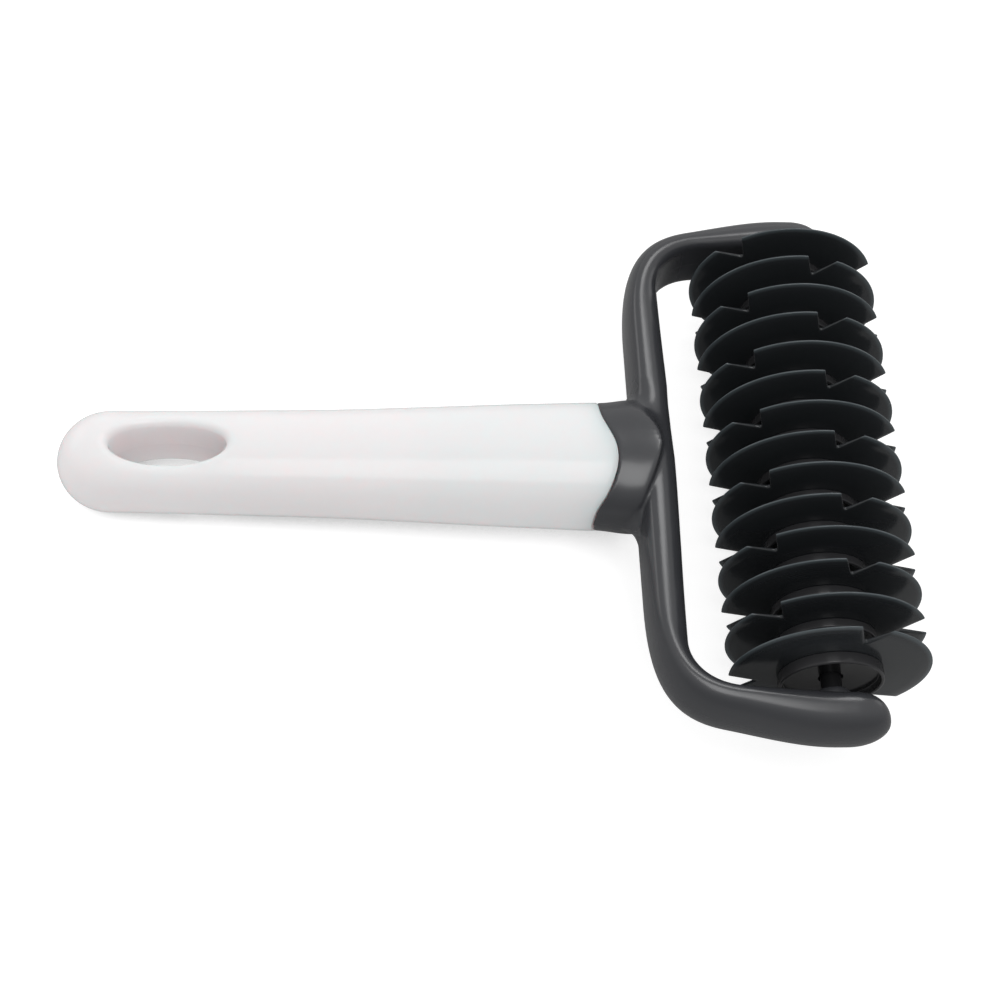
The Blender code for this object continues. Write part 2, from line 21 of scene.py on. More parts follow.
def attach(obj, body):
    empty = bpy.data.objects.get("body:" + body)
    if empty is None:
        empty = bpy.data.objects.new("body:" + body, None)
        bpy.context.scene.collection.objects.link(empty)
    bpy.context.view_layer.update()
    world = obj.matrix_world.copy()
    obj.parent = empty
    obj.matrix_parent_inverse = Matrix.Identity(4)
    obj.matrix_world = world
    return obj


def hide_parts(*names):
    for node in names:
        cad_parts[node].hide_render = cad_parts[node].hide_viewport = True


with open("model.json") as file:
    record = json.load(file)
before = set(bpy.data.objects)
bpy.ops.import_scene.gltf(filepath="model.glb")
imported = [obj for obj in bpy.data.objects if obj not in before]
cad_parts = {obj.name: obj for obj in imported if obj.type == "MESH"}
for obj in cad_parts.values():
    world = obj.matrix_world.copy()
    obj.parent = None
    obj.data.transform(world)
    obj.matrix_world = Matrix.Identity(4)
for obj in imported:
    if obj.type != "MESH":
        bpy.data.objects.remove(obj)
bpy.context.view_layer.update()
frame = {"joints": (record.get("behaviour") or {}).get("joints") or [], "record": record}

LOG = logging.getLogger("lattice_roller_cutter")
MM = 0.001
CIRCLE_PULL = 0.5523


class Body(Enum):
    """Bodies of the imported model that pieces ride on."""

    FRAME = "frame"
    ROLLER = "roller"


class Slot(Enum):
    """Material slots of the record."""

    HANDLE_WHITE = "handle_white"
    FORK_GREY = "fork_grey"
    DISC_BLACK = "disc_black"
    SPACER_BLACK = "spacer_black"
    AXLE_BLACK = "axle_black"


class Ends(Enum):
    """How a run of loops is closed."""

    CAPPED = "capped"
    STRIPPED = "stripped"
    JOINED = "joined"


class Side(Enum):
    """The two ends of the axle, as directions along Y."""

    FAR = 1
    NEAR = -1


def standing_place(joints: list[dict], record: dict) -> Matrix:
    """Finds where the cutter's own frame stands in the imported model.

    Args:
        joints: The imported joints; the first one is the roller's.
        record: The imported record; its first mount is the hanging hole, square to the handle.

    Returns:
        The matrix from the cutter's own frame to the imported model's.
    """
    axis = record["mounts"][0]["axis"]
    tilt = math.atan2(axis[0], axis[2])
    return Matrix.Translation(joints[0]["pos_m"]) @ Matrix.Rotation(tilt, 4, "Y")


STANDING = standing_place(frame["joints"], frame["record"])


# Shapes shared by the pieces


def mix(low: float, high: float, share: float) -> float:
    """Value a share of the way from low to high."""
    return low + (high - low) * share


def ease(share: float) -> float:
    """Share between 0 and 1, slowed at both ends."""
    share = min(max(share, 0.0), 1.0)
    return share * share * (3 - 2 * share)


def quarter(steps: int) -> list[tuple[float, float]]:
    """Sines and cosines of even steps through a right angle, with both of its ends."""
    angles = [math.pi / 2 * i / steps for i in range(steps + 1)]
    return [(math.sin(angle), math.cos(angle)) for angle in angles]


def mirrored(loops: Sequence[Sequence[Vector]]) -> list[list[Vector]]:
    """Loops across the plane Y = 0, from the last to the first."""
    return [[Vector((p.x, -p.y, p.z)) for p in loop] for loop in reversed(loops)]


def smooth_through(values: Sequence[float], share: float) -> float:
    """Reads a smooth curve through evenly spaced values.

    Args:
        values: The values that the curve passes through.
        share: Place along the curve, from 0 at the first value to 1 at the last.

    Returns:
        The curve's value there.
    """
    last = len(values) - 1
    place = min(max(share, 0.0), 1.0) * last
    step = min(int(place), last - 1)
    before, start, end, after = (values[min(max(step + k, 0), last)] for k in (-1, 0, 1, 2))
    t = place - step
    cubic = 3 * (start - end) + after - before
    square = 2 * before - 5 * start + 4 * end - after
    return start + t * (end - before + t * (square + t * cubic)) / 2


def curve_run(corners: Sequence[tuple[float, float]], steps: int) -> list[tuple[float, float]]:
    """Plan points along a cubic curve.

    Args:
        corners: Start, start pull, end pull and end.
        steps: Number of steps from start to end.

    Returns:
        The points, without the last one.
    """
    points = interpolate_bezier(*[Vector(corner) for corner in corners], steps + 1)
    return [tuple(point) for point in points][:-1]


def rounded(corners: Sequence[tuple[float, float, float]], steps: int) -> list[Vector]:
    """Rounds the corners of a closed outline.

    Args:
        corners: First place, second place and radius of each corner.
        steps: Steps of each rounding.

    Returns:
        The outline's points.
    """
    outline = []
    for i, (x, y, radius) in enumerate(corners):
        here = Vector((x, y))
        if not radius:
            outline.append(here)
            continue
        back = (Vector(corners[i - 1][:2]) - here).normalized()
        onward = (Vector(corners[(i + 1) % len(corners)][:2]) - here).normalized()
        half = back.angle(onward) / 2
        centre = here + (back + onward).normalized() * radius / math.sin(half)
        reach = radius / math.tan(half)
        start = here + back * reach - centre
        end = here + onward * reach - centre
        first = math.atan2(start.y, start.x)
        sweep = (math.atan2(end.y, end.x) - first + math.pi) % math.tau - math.pi
        for k in range(steps + 1):
            angle = first + sweep * k / steps
            outline.append(centre + Vector((math.cos(angle), math.sin(angle))) * radius)
    return outline


@dataclass(frozen=True)
class Oval:
    """A unit oval that is a little fuller at its four corners than a circle."""

    fullness: float
    halvings: int = 30

    def at(self, angle: float) -> tuple[float, float]:
        """Point of the oval at an angle from its right-hand end."""
        grow = 1 + self.fullness * math.sin(2 * angle) ** 2
        return math.cos(angle) * grow, math.sin(angle) * grow

    def up(self, across: float) -> float:
        """Finds how high the upper half stands.

        Args:
            across: Place across the oval, from -1 to 1.

        Returns:
            The height there, from 0 to 1.
        """
        low, high = 0.0, math.pi / 2
        for _ in range(self.halvings):
            middle = (low + high) / 2
            if self.at(middle)[0] > abs(across):
                low = middle
            else:
                high = middle
        return self.at(low)[1]


class Skin:
    """A mesh in the making: loops of points in millimetres, joined by bands of faces."""

    def __init__(self) -> None:
        """Starts an empty mesh."""
        self.shape = bmesh.new()

    def loop(self, points: Iterable[Vector]) -> list[bmesh.types.BMVert]:
        """Adds a loop of points and gives its vertices."""
        return [self.shape.verts.new(Vector(point) * MM) for point in points]

    def band(self, this: list, after: list, skipped: frozenset[int] = frozenset()) -> None:
        """Joins two loops by a band of four-sided faces.

        Args:
            this: Vertices of the first loop.
            after: Vertices of the second loop.
            skipped: Numbers of the faces to leave open.
        """
        for i in range(len(this)):
            if i not in skipped:
                j = (i + 1) % len(this)
                self.shape.faces.new((this[i], this[j], after[j], after[i]))

    def cap(self, loop: list) -> None:
        """Closes a flat loop with one face."""
        self.shape.faces.new(loop)

    def strip(self, loop: list) -> None:
        """Closes a loop that starts at its side and is alike above and below with upright strips."""
        count = len(loop)
        for i in range(count // 2):
            corners = (loop[i], loop[i + 1], loop[(count - i - 1) % count], loop[(count - i) % count])
            self.shape.faces.new(dict.fromkeys(corners))

    def point(self, loop: list, tip: Vector) -> None:
        """Closes a loop with a fan of faces to one point."""
        apex = self.shape.verts.new(Vector(tip) * MM)
        for i in range(len(loop)):
            self.shape.faces.new((loop[i], loop[(i + 1) % len(loop)], apex))

    def run(self, loops: Iterable[Iterable[Vector]], ends: Ends) -> None:
        """Adds a closed body over a run of loops.

        Args:
            loops: Loops of points, all with the same count.
            ends: How the first and the last loop are closed.
        """
        rows = [self.loop(points) for points in loops]
        for this, after in zip(rows, rows[1:]):
            self.band(this, after)
        if ends is Ends.JOINED:
            self.band(rows[-1], rows[0])
        for row in (rows[0], rows[-1]):
            if ends is Ends.CAPPED:
                self.cap(row)
            if ends is Ends.STRIPPED:
                self.strip(row)

    def mesh(self, name: str) -> bpy.types.Mesh:
        """Finishes the mesh with outward faces and smooth shading.

        Args:
            name: Name of the mesh.

        Returns:
            The finished mesh, in metres.
        """
        bmesh.ops.recalc_face_normals(self.shape, faces=self.shape.faces)
        for face in self.shape.faces:
            face.smooth = True
        mesh = bpy.data.meshes.new(name)
        self.shape.to_mesh(mesh)
        self.shape.free()
        return mesh


def circle(radius: float, height: float, steps: int) -> list[Vector]:
    """Points of a circle about the local Z axis at a height."""
    angles = [math.tau * i / steps for i in range(steps)]
    return [Vector((radius * math.cos(a), radius * math.sin(a), height)) for a in angles]


def put(name: str, data: bpy.types.ID) -> bpy.types.Object:
    """Makes an object of a mesh, a light or a camera and adds it to the scene."""
    obj = bpy.data.objects.new(name, data)
    bpy.context.scene.collection.objects.link(obj)
    return obj


def through_modifier(mesh: bpy.types.Mesh, kind: str, **settings: object) -> bpy.types.Mesh:
    """Takes a mesh through one Blender modifier.

    Args:
        mesh: The mesh to work on.
        kind: The modifier's type.
        settings: The modifier's own settings.

    Returns:
        The mesh that comes out.
    """
    obj = put("work", mesh)
    modifier = obj.modifiers.new(kind.lower(), kind)
    for name, value in settings.items():
        setattr(modifier, name, value)
    bpy.context.view_layer.update()
    evaluated = obj.evaluated_get(bpy.context.evaluated_depsgraph_get())
    result = bpy.data.meshes.new_from_object(evaluated)
    bpy.data.objects.remove(obj)
    return result


def cut_away(mesh: bpy.types.Mesh, cutter: bpy.types.Mesh) -> bpy.types.Mesh:
    """Cuts one mesh out of another.

    Args:
        mesh: The mesh to cut.
        cutter: The closed mesh to take away.

    Returns:
        The mesh that is left.
    """
    tool = put("cutter", cutter)
    result = through_modifier(mesh, "BOOLEAN", operation="DIFFERENCE", solver="EXACT", object=tool)
    bpy.data.objects.remove(tool)
    return result


# Shader effects and finishes


class Board:
    """Lays out the nodes of one tree and links them."""

    def __init__(self, tree: bpy.types.NodeTree) -> None:
        """Takes the tree to work on."""
        self.tree = tree

    def add(self, kind: str, **settings: object) -> bpy.types.Node:
        """Adds a node with its settings."""
        node = self.tree.nodes.new(kind)
        for name, value in settings.items():
            setattr(node, name, value)
        return node

    def feed(self, socket: bpy.types.NodeSocket, source: object) -> None:
        """Links a socket to another socket, or sets it to a value."""
        if isinstance(source, bpy.types.NodeSocket):
            self.tree.links.new(source, socket)
        else:
            socket.default_value = source

    def math(self, operation: str, *sources: object) -> bpy.types.NodeSocket:
        """Adds a Math node and gives its result."""
        node = self.add("ShaderNodeMath", operation=operation)
        for socket, source in zip(node.inputs, sources):
            self.feed(socket, source)
        return node.outputs[0]

    def place(self) -> bpy.types.NodeSocket:
        """The place from the piece's origin in millimetres, along the cutter's own axes."""
        spot = self.add("ShaderNodeTexCoord")
        turned = self.add("ShaderNodeMapping")
        turned.inputs["Rotation"].default_value = STANDING.inverted().to_euler()
        turned.inputs["Scale"].default_value = (1 / MM,) * 3
        self.feed(turned.inputs["Vector"], spot.outputs["Object"])
        return turned.outputs[0]

    def noise(
        self, size: object, detail: float, stretch: Sequence[float] = (1, 1, 1)
    ) -> bpy.types.NodeSocket:
        """Adds a noise over the object.

        Args:
            size: Size of its patches in millimetres, a number or a socket.
            detail: Finer layers in it.
            stretch: How many times finer it is along X, Y and Z.

        Returns:
            The noise, about 0.5 on average.
        """
        stretched = self.add("ShaderNodeVectorMath", operation="MULTIPLY")
        self.feed(stretched.inputs[0], self.place())
        stretched.inputs[1].default_value = stretch
        texture = self.add("ShaderNodeTexNoise")
        self.feed(texture.inputs["Vector"], stretched.outputs[0])
        self.feed(texture.inputs["Scale"], self.math("DIVIDE", 1.0, size))
        texture.inputs["Detail"].default_value = detail
        return texture.outputs["Fac"]

    def ramp(
        self, value: object, low: object, high: object, start: object = 0.0, end: object = 1.0
    ) -> bpy.types.NodeSocket:
        """Adds a smooth ramp.

        Args:
            value: What runs from low to high.
            low: Value at which the ramp starts.
            high: Value at which it ends.
            start: Result at low.
            end: Result at high.

        Returns:
            The result.
        """
        node = self.add("ShaderNodeMapRange", interpolation_type="SMOOTHSTEP")
        names = ("Value", "From Min", "From Max", "To Min", "To Max")
        for name, source in zip(names, (value, low, high, start, end)):
            self.feed(node.inputs[name], source)
        return node.outputs["Result"]


def plain_material(name: str) -> tuple[bpy.types.Material, Board, bpy.types.Node]:
    """Makes a material and gives it with its board and its surface shader."""
    material = bpy.data.materials.new(name)
    material.use_nodes = True
    board = Board(material.node_tree)
    return material, board, board.tree.nodes["Principled BSDF"]


class Effect(Board):
    """A shader node group with named inputs and outputs."""

    COLOR = "NodeSocketColor"
    FLOAT = "NodeSocketFloat"

    def __init__(self, name: str, inputs: dict[str, str], outputs: dict[str, str]) -> None:
        """Makes the empty group.

        Args:
            name: Name of the group.
            inputs: Names and socket types that go in.
            outputs: Names and socket types that come out.
        """
        super().__init__(bpy.data.node_groups.new(name, "ShaderNodeTree"))
        for label, kind in inputs.items():
            self.tree.interface.new_socket(name=label, in_out="INPUT", socket_type=kind)
        for label, kind in outputs.items():
            self.tree.interface.new_socket(name=label, in_out="OUTPUT", socket_type=kind)
        self.given = self.add("NodeGroupInput").outputs
        self.result = self.add("NodeGroupOutput").inputs

    def placed(self, board: Board, **values: object) -> bpy.types.bpy_prop_collection:
        """Places the group in a material.

        Args:
            board: The material's board.
            values: Inputs by name, with underscores for spaces.

        Returns:
            The outputs of the placed group.
        """
        node = board.add("ShaderNodeGroup", node_tree=self.tree)
        for name, value in values.items():
            board.feed(node.inputs[name.replace("_", " ")], value)
        return node.outputs


def mould_grain() -> Effect:
    """Fine grain of the mould's wall over slow sink waves, as a height in millimetres."""
    names = ("Grain Size", "Grain Depth", "Wave Size", "Wave Depth")
    effect = Effect("mould_grain", dict.fromkeys(names, Effect.FLOAT), {"Height": Effect.FLOAT})
    heights = []
    for layer, detail in (("Grain", 3.0), ("Wave", 1.0)):
        noise = effect.noise(effect.given[layer + " Size"], detail)
        centred = effect.math("SUBTRACT", noise, 0.5)
        heights.append(effect.math("MULTIPLY", centred, effect.given[layer + " Depth"]))
    effect.feed(effect.result["Height"], effect.math("ADD", *heights))
    return effect


def flow_tone() -> Effect:
    """Slow change between two tones, as the melt left it."""
    inputs = {"Tone": Effect.COLOR, "Other Tone": Effect.COLOR, "Patch Size": Effect.FLOAT}
    effect = Effect("flow_tone", inputs, {"Color": Effect.COLOR})
    noise = effect.noise(effect.given["Patch Size"], detail=2.0, stretch=(0.35, 1, 1))
    blend = effect.add("ShaderNodeMix", data_type="RGBA")
    effect.feed(blend.inputs["Factor"], effect.ramp(noise, low=0.3, high=0.7))
    effect.feed(blend.inputs["A"], effect.given["Tone"])
    effect.feed(blend.inputs["B"], effect.given["Other Tone"])
    effect.feed(effect.result["Color"], blend.outputs["Result"])
    return effect


def handling_haze() -> Effect:
    """Roughness between polished and hazed, in patches and fine hairlines along the piece."""
    names = ("Polished", "Hazed", "Patch Size", "Hairline Size", "Hairline Share")
    effect = Effect("handling_haze", dict.fromkeys(names, Effect.FLOAT), {"Roughness": Effect.FLOAT})
    clouds = effect.noise(effect.given["Patch Size"], detail=3.0)
    patches = effect.ramp(clouds, low=0.35, high=0.75, end=0.7)
    lines = effect.noise(effect.given["Hairline Size"], detail=2.0, stretch=(0.06, 1, 1))
    hairlines = effect.ramp(lines, low=0.66, high=0.74, end=effect.given["Hairline Share"])
    share = effect.math("MAXIMUM", patches, hairlines)
    spread = effect.math("SUBTRACT", effect.given["Hazed"], effect.given["Polished"])
    raised = effect.math("MULTIPLY_ADD", share, spread, effect.given["Polished"])
    effect.feed(effect.result["Roughness"], raised)
    return effect


def parting_line() -> Effect:
    """Mask of the thin line where the two halves of a mould met, at Z = 0."""
    effect = Effect("parting_line", {"Width": Effect.FLOAT}, {"Mask": Effect.FLOAT})
    axes = effect.add("ShaderNodeSeparateXYZ")
    effect.feed(axes.inputs[0], effect.place())
    away = effect.math("ABSOLUTE", axes.outputs["Z"])
    line = effect.ramp(away, low=0.0, high=effect.given["Width"], start=1.0, end=0.0)
    effect.feed(effect.result["Mask"], line)
    return effect


def turned_rings() -> Effect:
    """Faint rings of a mould turned about the axle, as a height in millimetres, and a mask of the rim band
    that takes a painted sheen.
    """
    names = ("Pitch", "Depth", "Rim Start", "Rim End")
    outputs = {"Height": Effect.FLOAT, "Rim": Effect.FLOAT}
    effect = Effect("turned_rings", dict.fromkeys(names, Effect.FLOAT), outputs)
    axes = effect.add("ShaderNodeSeparateXYZ")
    effect.feed(axes.inputs[0], effect.place())
    squares = [effect.math("MULTIPLY", axes.outputs[k], axes.outputs[k]) for k in "XZ"]
    radius = effect.math("SQRT", effect.math("ADD", *squares))
    turns = effect.math("DIVIDE", radius, effect.given["Pitch"])
    wave = effect.math("SINE", effect.math("MULTIPLY", turns, math.tau))
    effect.feed(effect.result["Height"], effect.math("MULTIPLY", wave, effect.given["Depth"]))
    rim = effect.ramp(radius, effect.given["Rim Start"], effect.given["Rim End"])
    effect.feed(effect.result["Rim"], rim)
    return effect


@dataclass(frozen=True)
class Effects:
    """The node groups that the finishes share, each made once."""

    grain: Effect = field(default_factory=mould_grain)
    tone: Effect = field(default_factory=flow_tone)
    haze: Effect = field(default_factory=handling_haze)
    seam: Effect = field(default_factory=parting_line)
    rings: Effect = field(default_factory=turned_rings)


@dataclass(frozen=True)
class PlasticFinish:
    """A moulded plastic: colours, gloss, the marks that its mould and its use leave, and a painted sheen
    at its rim.
    """

    name: str
    tone: tuple[float, float, float]
    other_tone: tuple[float, float, float]
    polished: float
    hazed: float
    grain_size: float
    grain_depth: float
    wave_depth: float
    wave_size: float = 14.0
    patch_size: float = 26.0
    hairline_size: float = 0.5
    hairline_share: float = 0.0
    specular: float = 0.5
    subsurface: float = 0.0
    subsurface_depths: tuple[float, float, float] = (1.0, 1.0, 1.0)
    seam_width: float = 0.0
    seam_height: float = 0.0
    ring_pitch: float = 0.0
    ring_depth: float = 0.0
    rim_start: float = 0.0
    rim_end: float = 0.0
    # Lighter tone painted on the rim band as a sheen, in place of light caught along the rim.
    rim_sheen_tone: tuple[float, float, float] = (0.0, 0.0, 0.0)

    def material(self, effects: Effects) -> bpy.types.Material:
        """Makes the material.

        Args:
            effects: The shared node groups.

        Returns:
            The finished material.
        """
        material, board, shader = plain_material(self.name)
        shader.inputs["Specular IOR Level"].default_value = self.specular
        shader.inputs["Subsurface Weight"].default_value = self.subsurface
        shader.inputs["Subsurface Radius"].default_value = self.subsurface_depths
        shader.inputs["Subsurface Scale"].default_value = MM
        grain = effects.grain.placed(
            board,
            Grain_Size=self.grain_size,
            Grain_Depth=self.grain_depth,
            Wave_Size=self.wave_size,
            Wave_Depth=self.wave_depth,
        )
        tones = effects.tone.placed(
            board, Tone=(*self.tone, 1), Other_Tone=(*self.other_tone, 1), Patch_Size=self.patch_size
        )
        haze = effects.haze.placed(
            board,
            Polished=self.polished,
            Hazed=self.hazed,
            Patch_Size=self.patch_size,
            Hairline_Size=self.hairline_size,
            Hairline_Share=self.hairline_share,
        )
        height, color = grain["Height"], tones["Color"]
        if self.seam_width:
            mask = effects.seam.placed(board, Width=self.seam_width)["Mask"]
            height = board.math("MULTIPLY_ADD", mask, self.seam_height, height)
        if self.ring_pitch:
            rings = effects.rings.placed(
                board,
                Pitch=self.ring_pitch,
                Depth=self.ring_depth,
                Rim_Start=self.rim_start,
                Rim_End=self.rim_end,
            )
            height = board.math("ADD", height, rings["Height"])
            # Painted sheen: the rim band is mixed towards a lighter tone, standing in for light caught
            # along the rim.
            rim_sheen_mix = board.add("ShaderNodeMix", data_type="RGBA")
            board.feed(rim_sheen_mix.inputs["Factor"], rings["Rim"])
            board.feed(rim_sheen_mix.inputs["A"], color)
            board.feed(rim_sheen_mix.inputs["B"], (*self.rim_sheen_tone, 1))
            color = rim_sheen_mix.outputs["Result"]
        bump = board.add("ShaderNodeBump")
        bump.inputs["Distance"].default_value = MM
        board.feed(bump.inputs["Height"], height)
        board.feed(shader.inputs["Base Color"], color)
        board.feed(shader.inputs["Roughness"], haze["Roughness"])
        board.feed(shader.inputs["Normal"], bump.outputs["Normal"])
        return material


WHITE_GLOSS = PlasticFinish(
    name="white_gloss_plastic",
    tone=(0.85, 0.842, 0.846),
    other_tone=(0.842, 0.83, 0.836),
    polished=0.09,
    hazed=0.15,
    grain_size=0.6,
    grain_depth=0.0008,
    wave_depth=0.01,
    hairline_share=0.25,
    specular=0.25,
    subsurface=0.8,
    subsurface_depths=(9.0, 6.0, 6.0),
    seam_width=0.09,
    seam_height=0.01,
)
GREY_SATIN = PlasticFinish(
    name="grey_satin_plastic",
    tone=(0.036, 0.0373, 0.0418),
    other_tone=(0.0395, 0.0408, 0.0453),
    polished=0.24,
    hazed=0.3,
    specular=0.65,
    grain_size=0.3,
    grain_depth=0.0025,
    wave_depth=0.01,
    hairline_share=0.3,
    seam_width=0.1,
    seam_height=0.012,
)
BLACK_DISC = PlasticFinish(
    name="black_disc_plastic",
    tone=(0.023, 0.0255, 0.028),
    other_tone=(0.026, 0.029, 0.0315),
    polished=0.14,
    hazed=0.22,
    grain_size=0.6,
    grain_depth=0.0005,
    wave_depth=0.003,
    specular=0.33,
    ring_pitch=0.7,
    ring_depth=0.00015,
    # The band from 20.6 mm out to the edge is painted a lighter teal: a painted sheen along the disc's
    # rim.
    rim_start=20.6,
    rim_end=22.0,
    rim_sheen_tone=(0.068, 0.081, 0.088),
)
BLACK_SPACER = PlasticFinish(
    # Painted shade and sheen: the tone inside the rim band is kept very dark for shade in the cup's
    # hollow, and the wall and lip take the lighter rim tone.
    name="black_spacer_plastic",
    tone=(0.009, 0.009, 0.0098),
    other_tone=(0.011, 0.011, 0.012),
    polished=0.16,
    hazed=0.26,
    grain_size=0.5,
    grain_depth=0.0006,
    wave_depth=0.002,
    specular=0.3,
    ring_pitch=0.55,
    ring_depth=0.0003,
    rim_start=10.4,
    rim_end=11.0,
    rim_sheen_tone=(0.034, 0.034, 0.036),
)
BLACK_AXLE = PlasticFinish(
    name="black_axle_plastic",
    tone=(0.01, 0.01, 0.011),
    other_tone=(0.013, 0.013, 0.014),
    polished=0.28,
    hazed=0.4,
    specular=0.2,
    grain_size=0.4,
    grain_depth=0.002,
    wave_depth=0.003,
    hairline_share=0.4,
    seam_width=0.08,
    seam_height=0.01,
)


# Laying the pieces


@dataclass(frozen=True)
class Workbench:
    """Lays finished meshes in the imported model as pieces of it."""

    effects: Effects

    def lay(
        self,
        name: str,
        mesh: bpy.types.Mesh,
        body: Body,
        node: str,
        place: Matrix | None = None,
    ) -> bpy.types.Object:
        """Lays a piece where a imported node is, in that node's stead.

        Args:
            name: Name of the piece.
            mesh: Its mesh, in the cutter's own frame or about its own axis.
            body: The body that it rides on.
            node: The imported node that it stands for.
            place: Its place in the cutter's own frame, if its mesh isn't there already.

        Returns:
            The piece.
        """
        laid = STANDING @ (place or Matrix.Identity(4))
        origin = Matrix.Translation(laid.to_translation())
        mesh = mesh.copy()
        mesh.name = name
        mesh.transform(origin.inverted() @ laid)
        piece = put(name, mesh)
        piece.matrix_world = origin
        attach(piece, body.value)
        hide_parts(node)
        LOG.info("%s: %d faces, for %s on %s", name, len(mesh.polygons), node, body.value)
        return piece


# Handle and fork


@dataclass(frozen=True)
class Meeting:
    """Where the handle meets the fork's collar, and the tang that joins them."""

    collar_back: float = -44.12
    gap: float = 0.18
    half_width: float = 15.1
    sags: tuple[float, ...] = (5.42, 2.76, 1.12, 0.2, 0.02, 0.57, 1.72, 2.82, 3.3, 3.36, 3.4)
    height_share: float = 0.79
    oval: Oval = Oval(0.032)
    lip: float = 0.25
    lip_steps: int = 4
    handle_length: float = 125.2
    head_drop: float = 0.45
    tail_rise: float = 0.75
    tang_length: float = 43.0
    tang_width: float = 14.0
    tang_height: float = 9.0
    tang_tip_share: float = 0.85
    rounds: int = 96

    @property
    def head(self) -> float:
        """Place of the handle's head on its middle line."""
        return self.collar_back - self.gap

    def middle(self, x: float) -> float:
        """Height of the middle line of the handle and the collar."""
        return mix(-self.head_drop, self.tail_rise, (self.head - x) / self.handle_length)

    def sag(self, y: float) -> float:
        """How far the joint's curve lies back at a place across it."""
        return smooth_through(self.sags, (y / self.half_width + 1) / 2)

    def loop(self, x: float, half_width: float, half_height: float, sags: Sequence[float]) -> list[Vector]:
        """Gives an upright oval that lies back along a curve.

        Args:
            x: Place of the oval before it lies back.
            half_width: Half of its width.
            half_height: Half of its height.
            sags: How far it lies back at even steps across the joint.

        Returns:
            The oval's points, starting at its far side.
        """
        points = []
        for i in range(self.rounds):
            across, up = self.oval.at(math.tau * i / self.rounds)
            y = half_width * across
            sag = smooth_through(sags, (y / self.half_width + 1) / 2)
            points.append(Vector((x - sag, y, self.middle(x) + half_height * up)))
        return points

    def tang_half_sizes(self, x: float, clearance: float) -> tuple[float, float]:
        """Half width and half height of the tang at a place, grown by a clearance."""
        share = mix(1, self.tang_tip_share, (self.head - x) / self.tang_length)
        return self.tang_width / 2 * share + clearance, self.tang_height / 2 * share + clearance


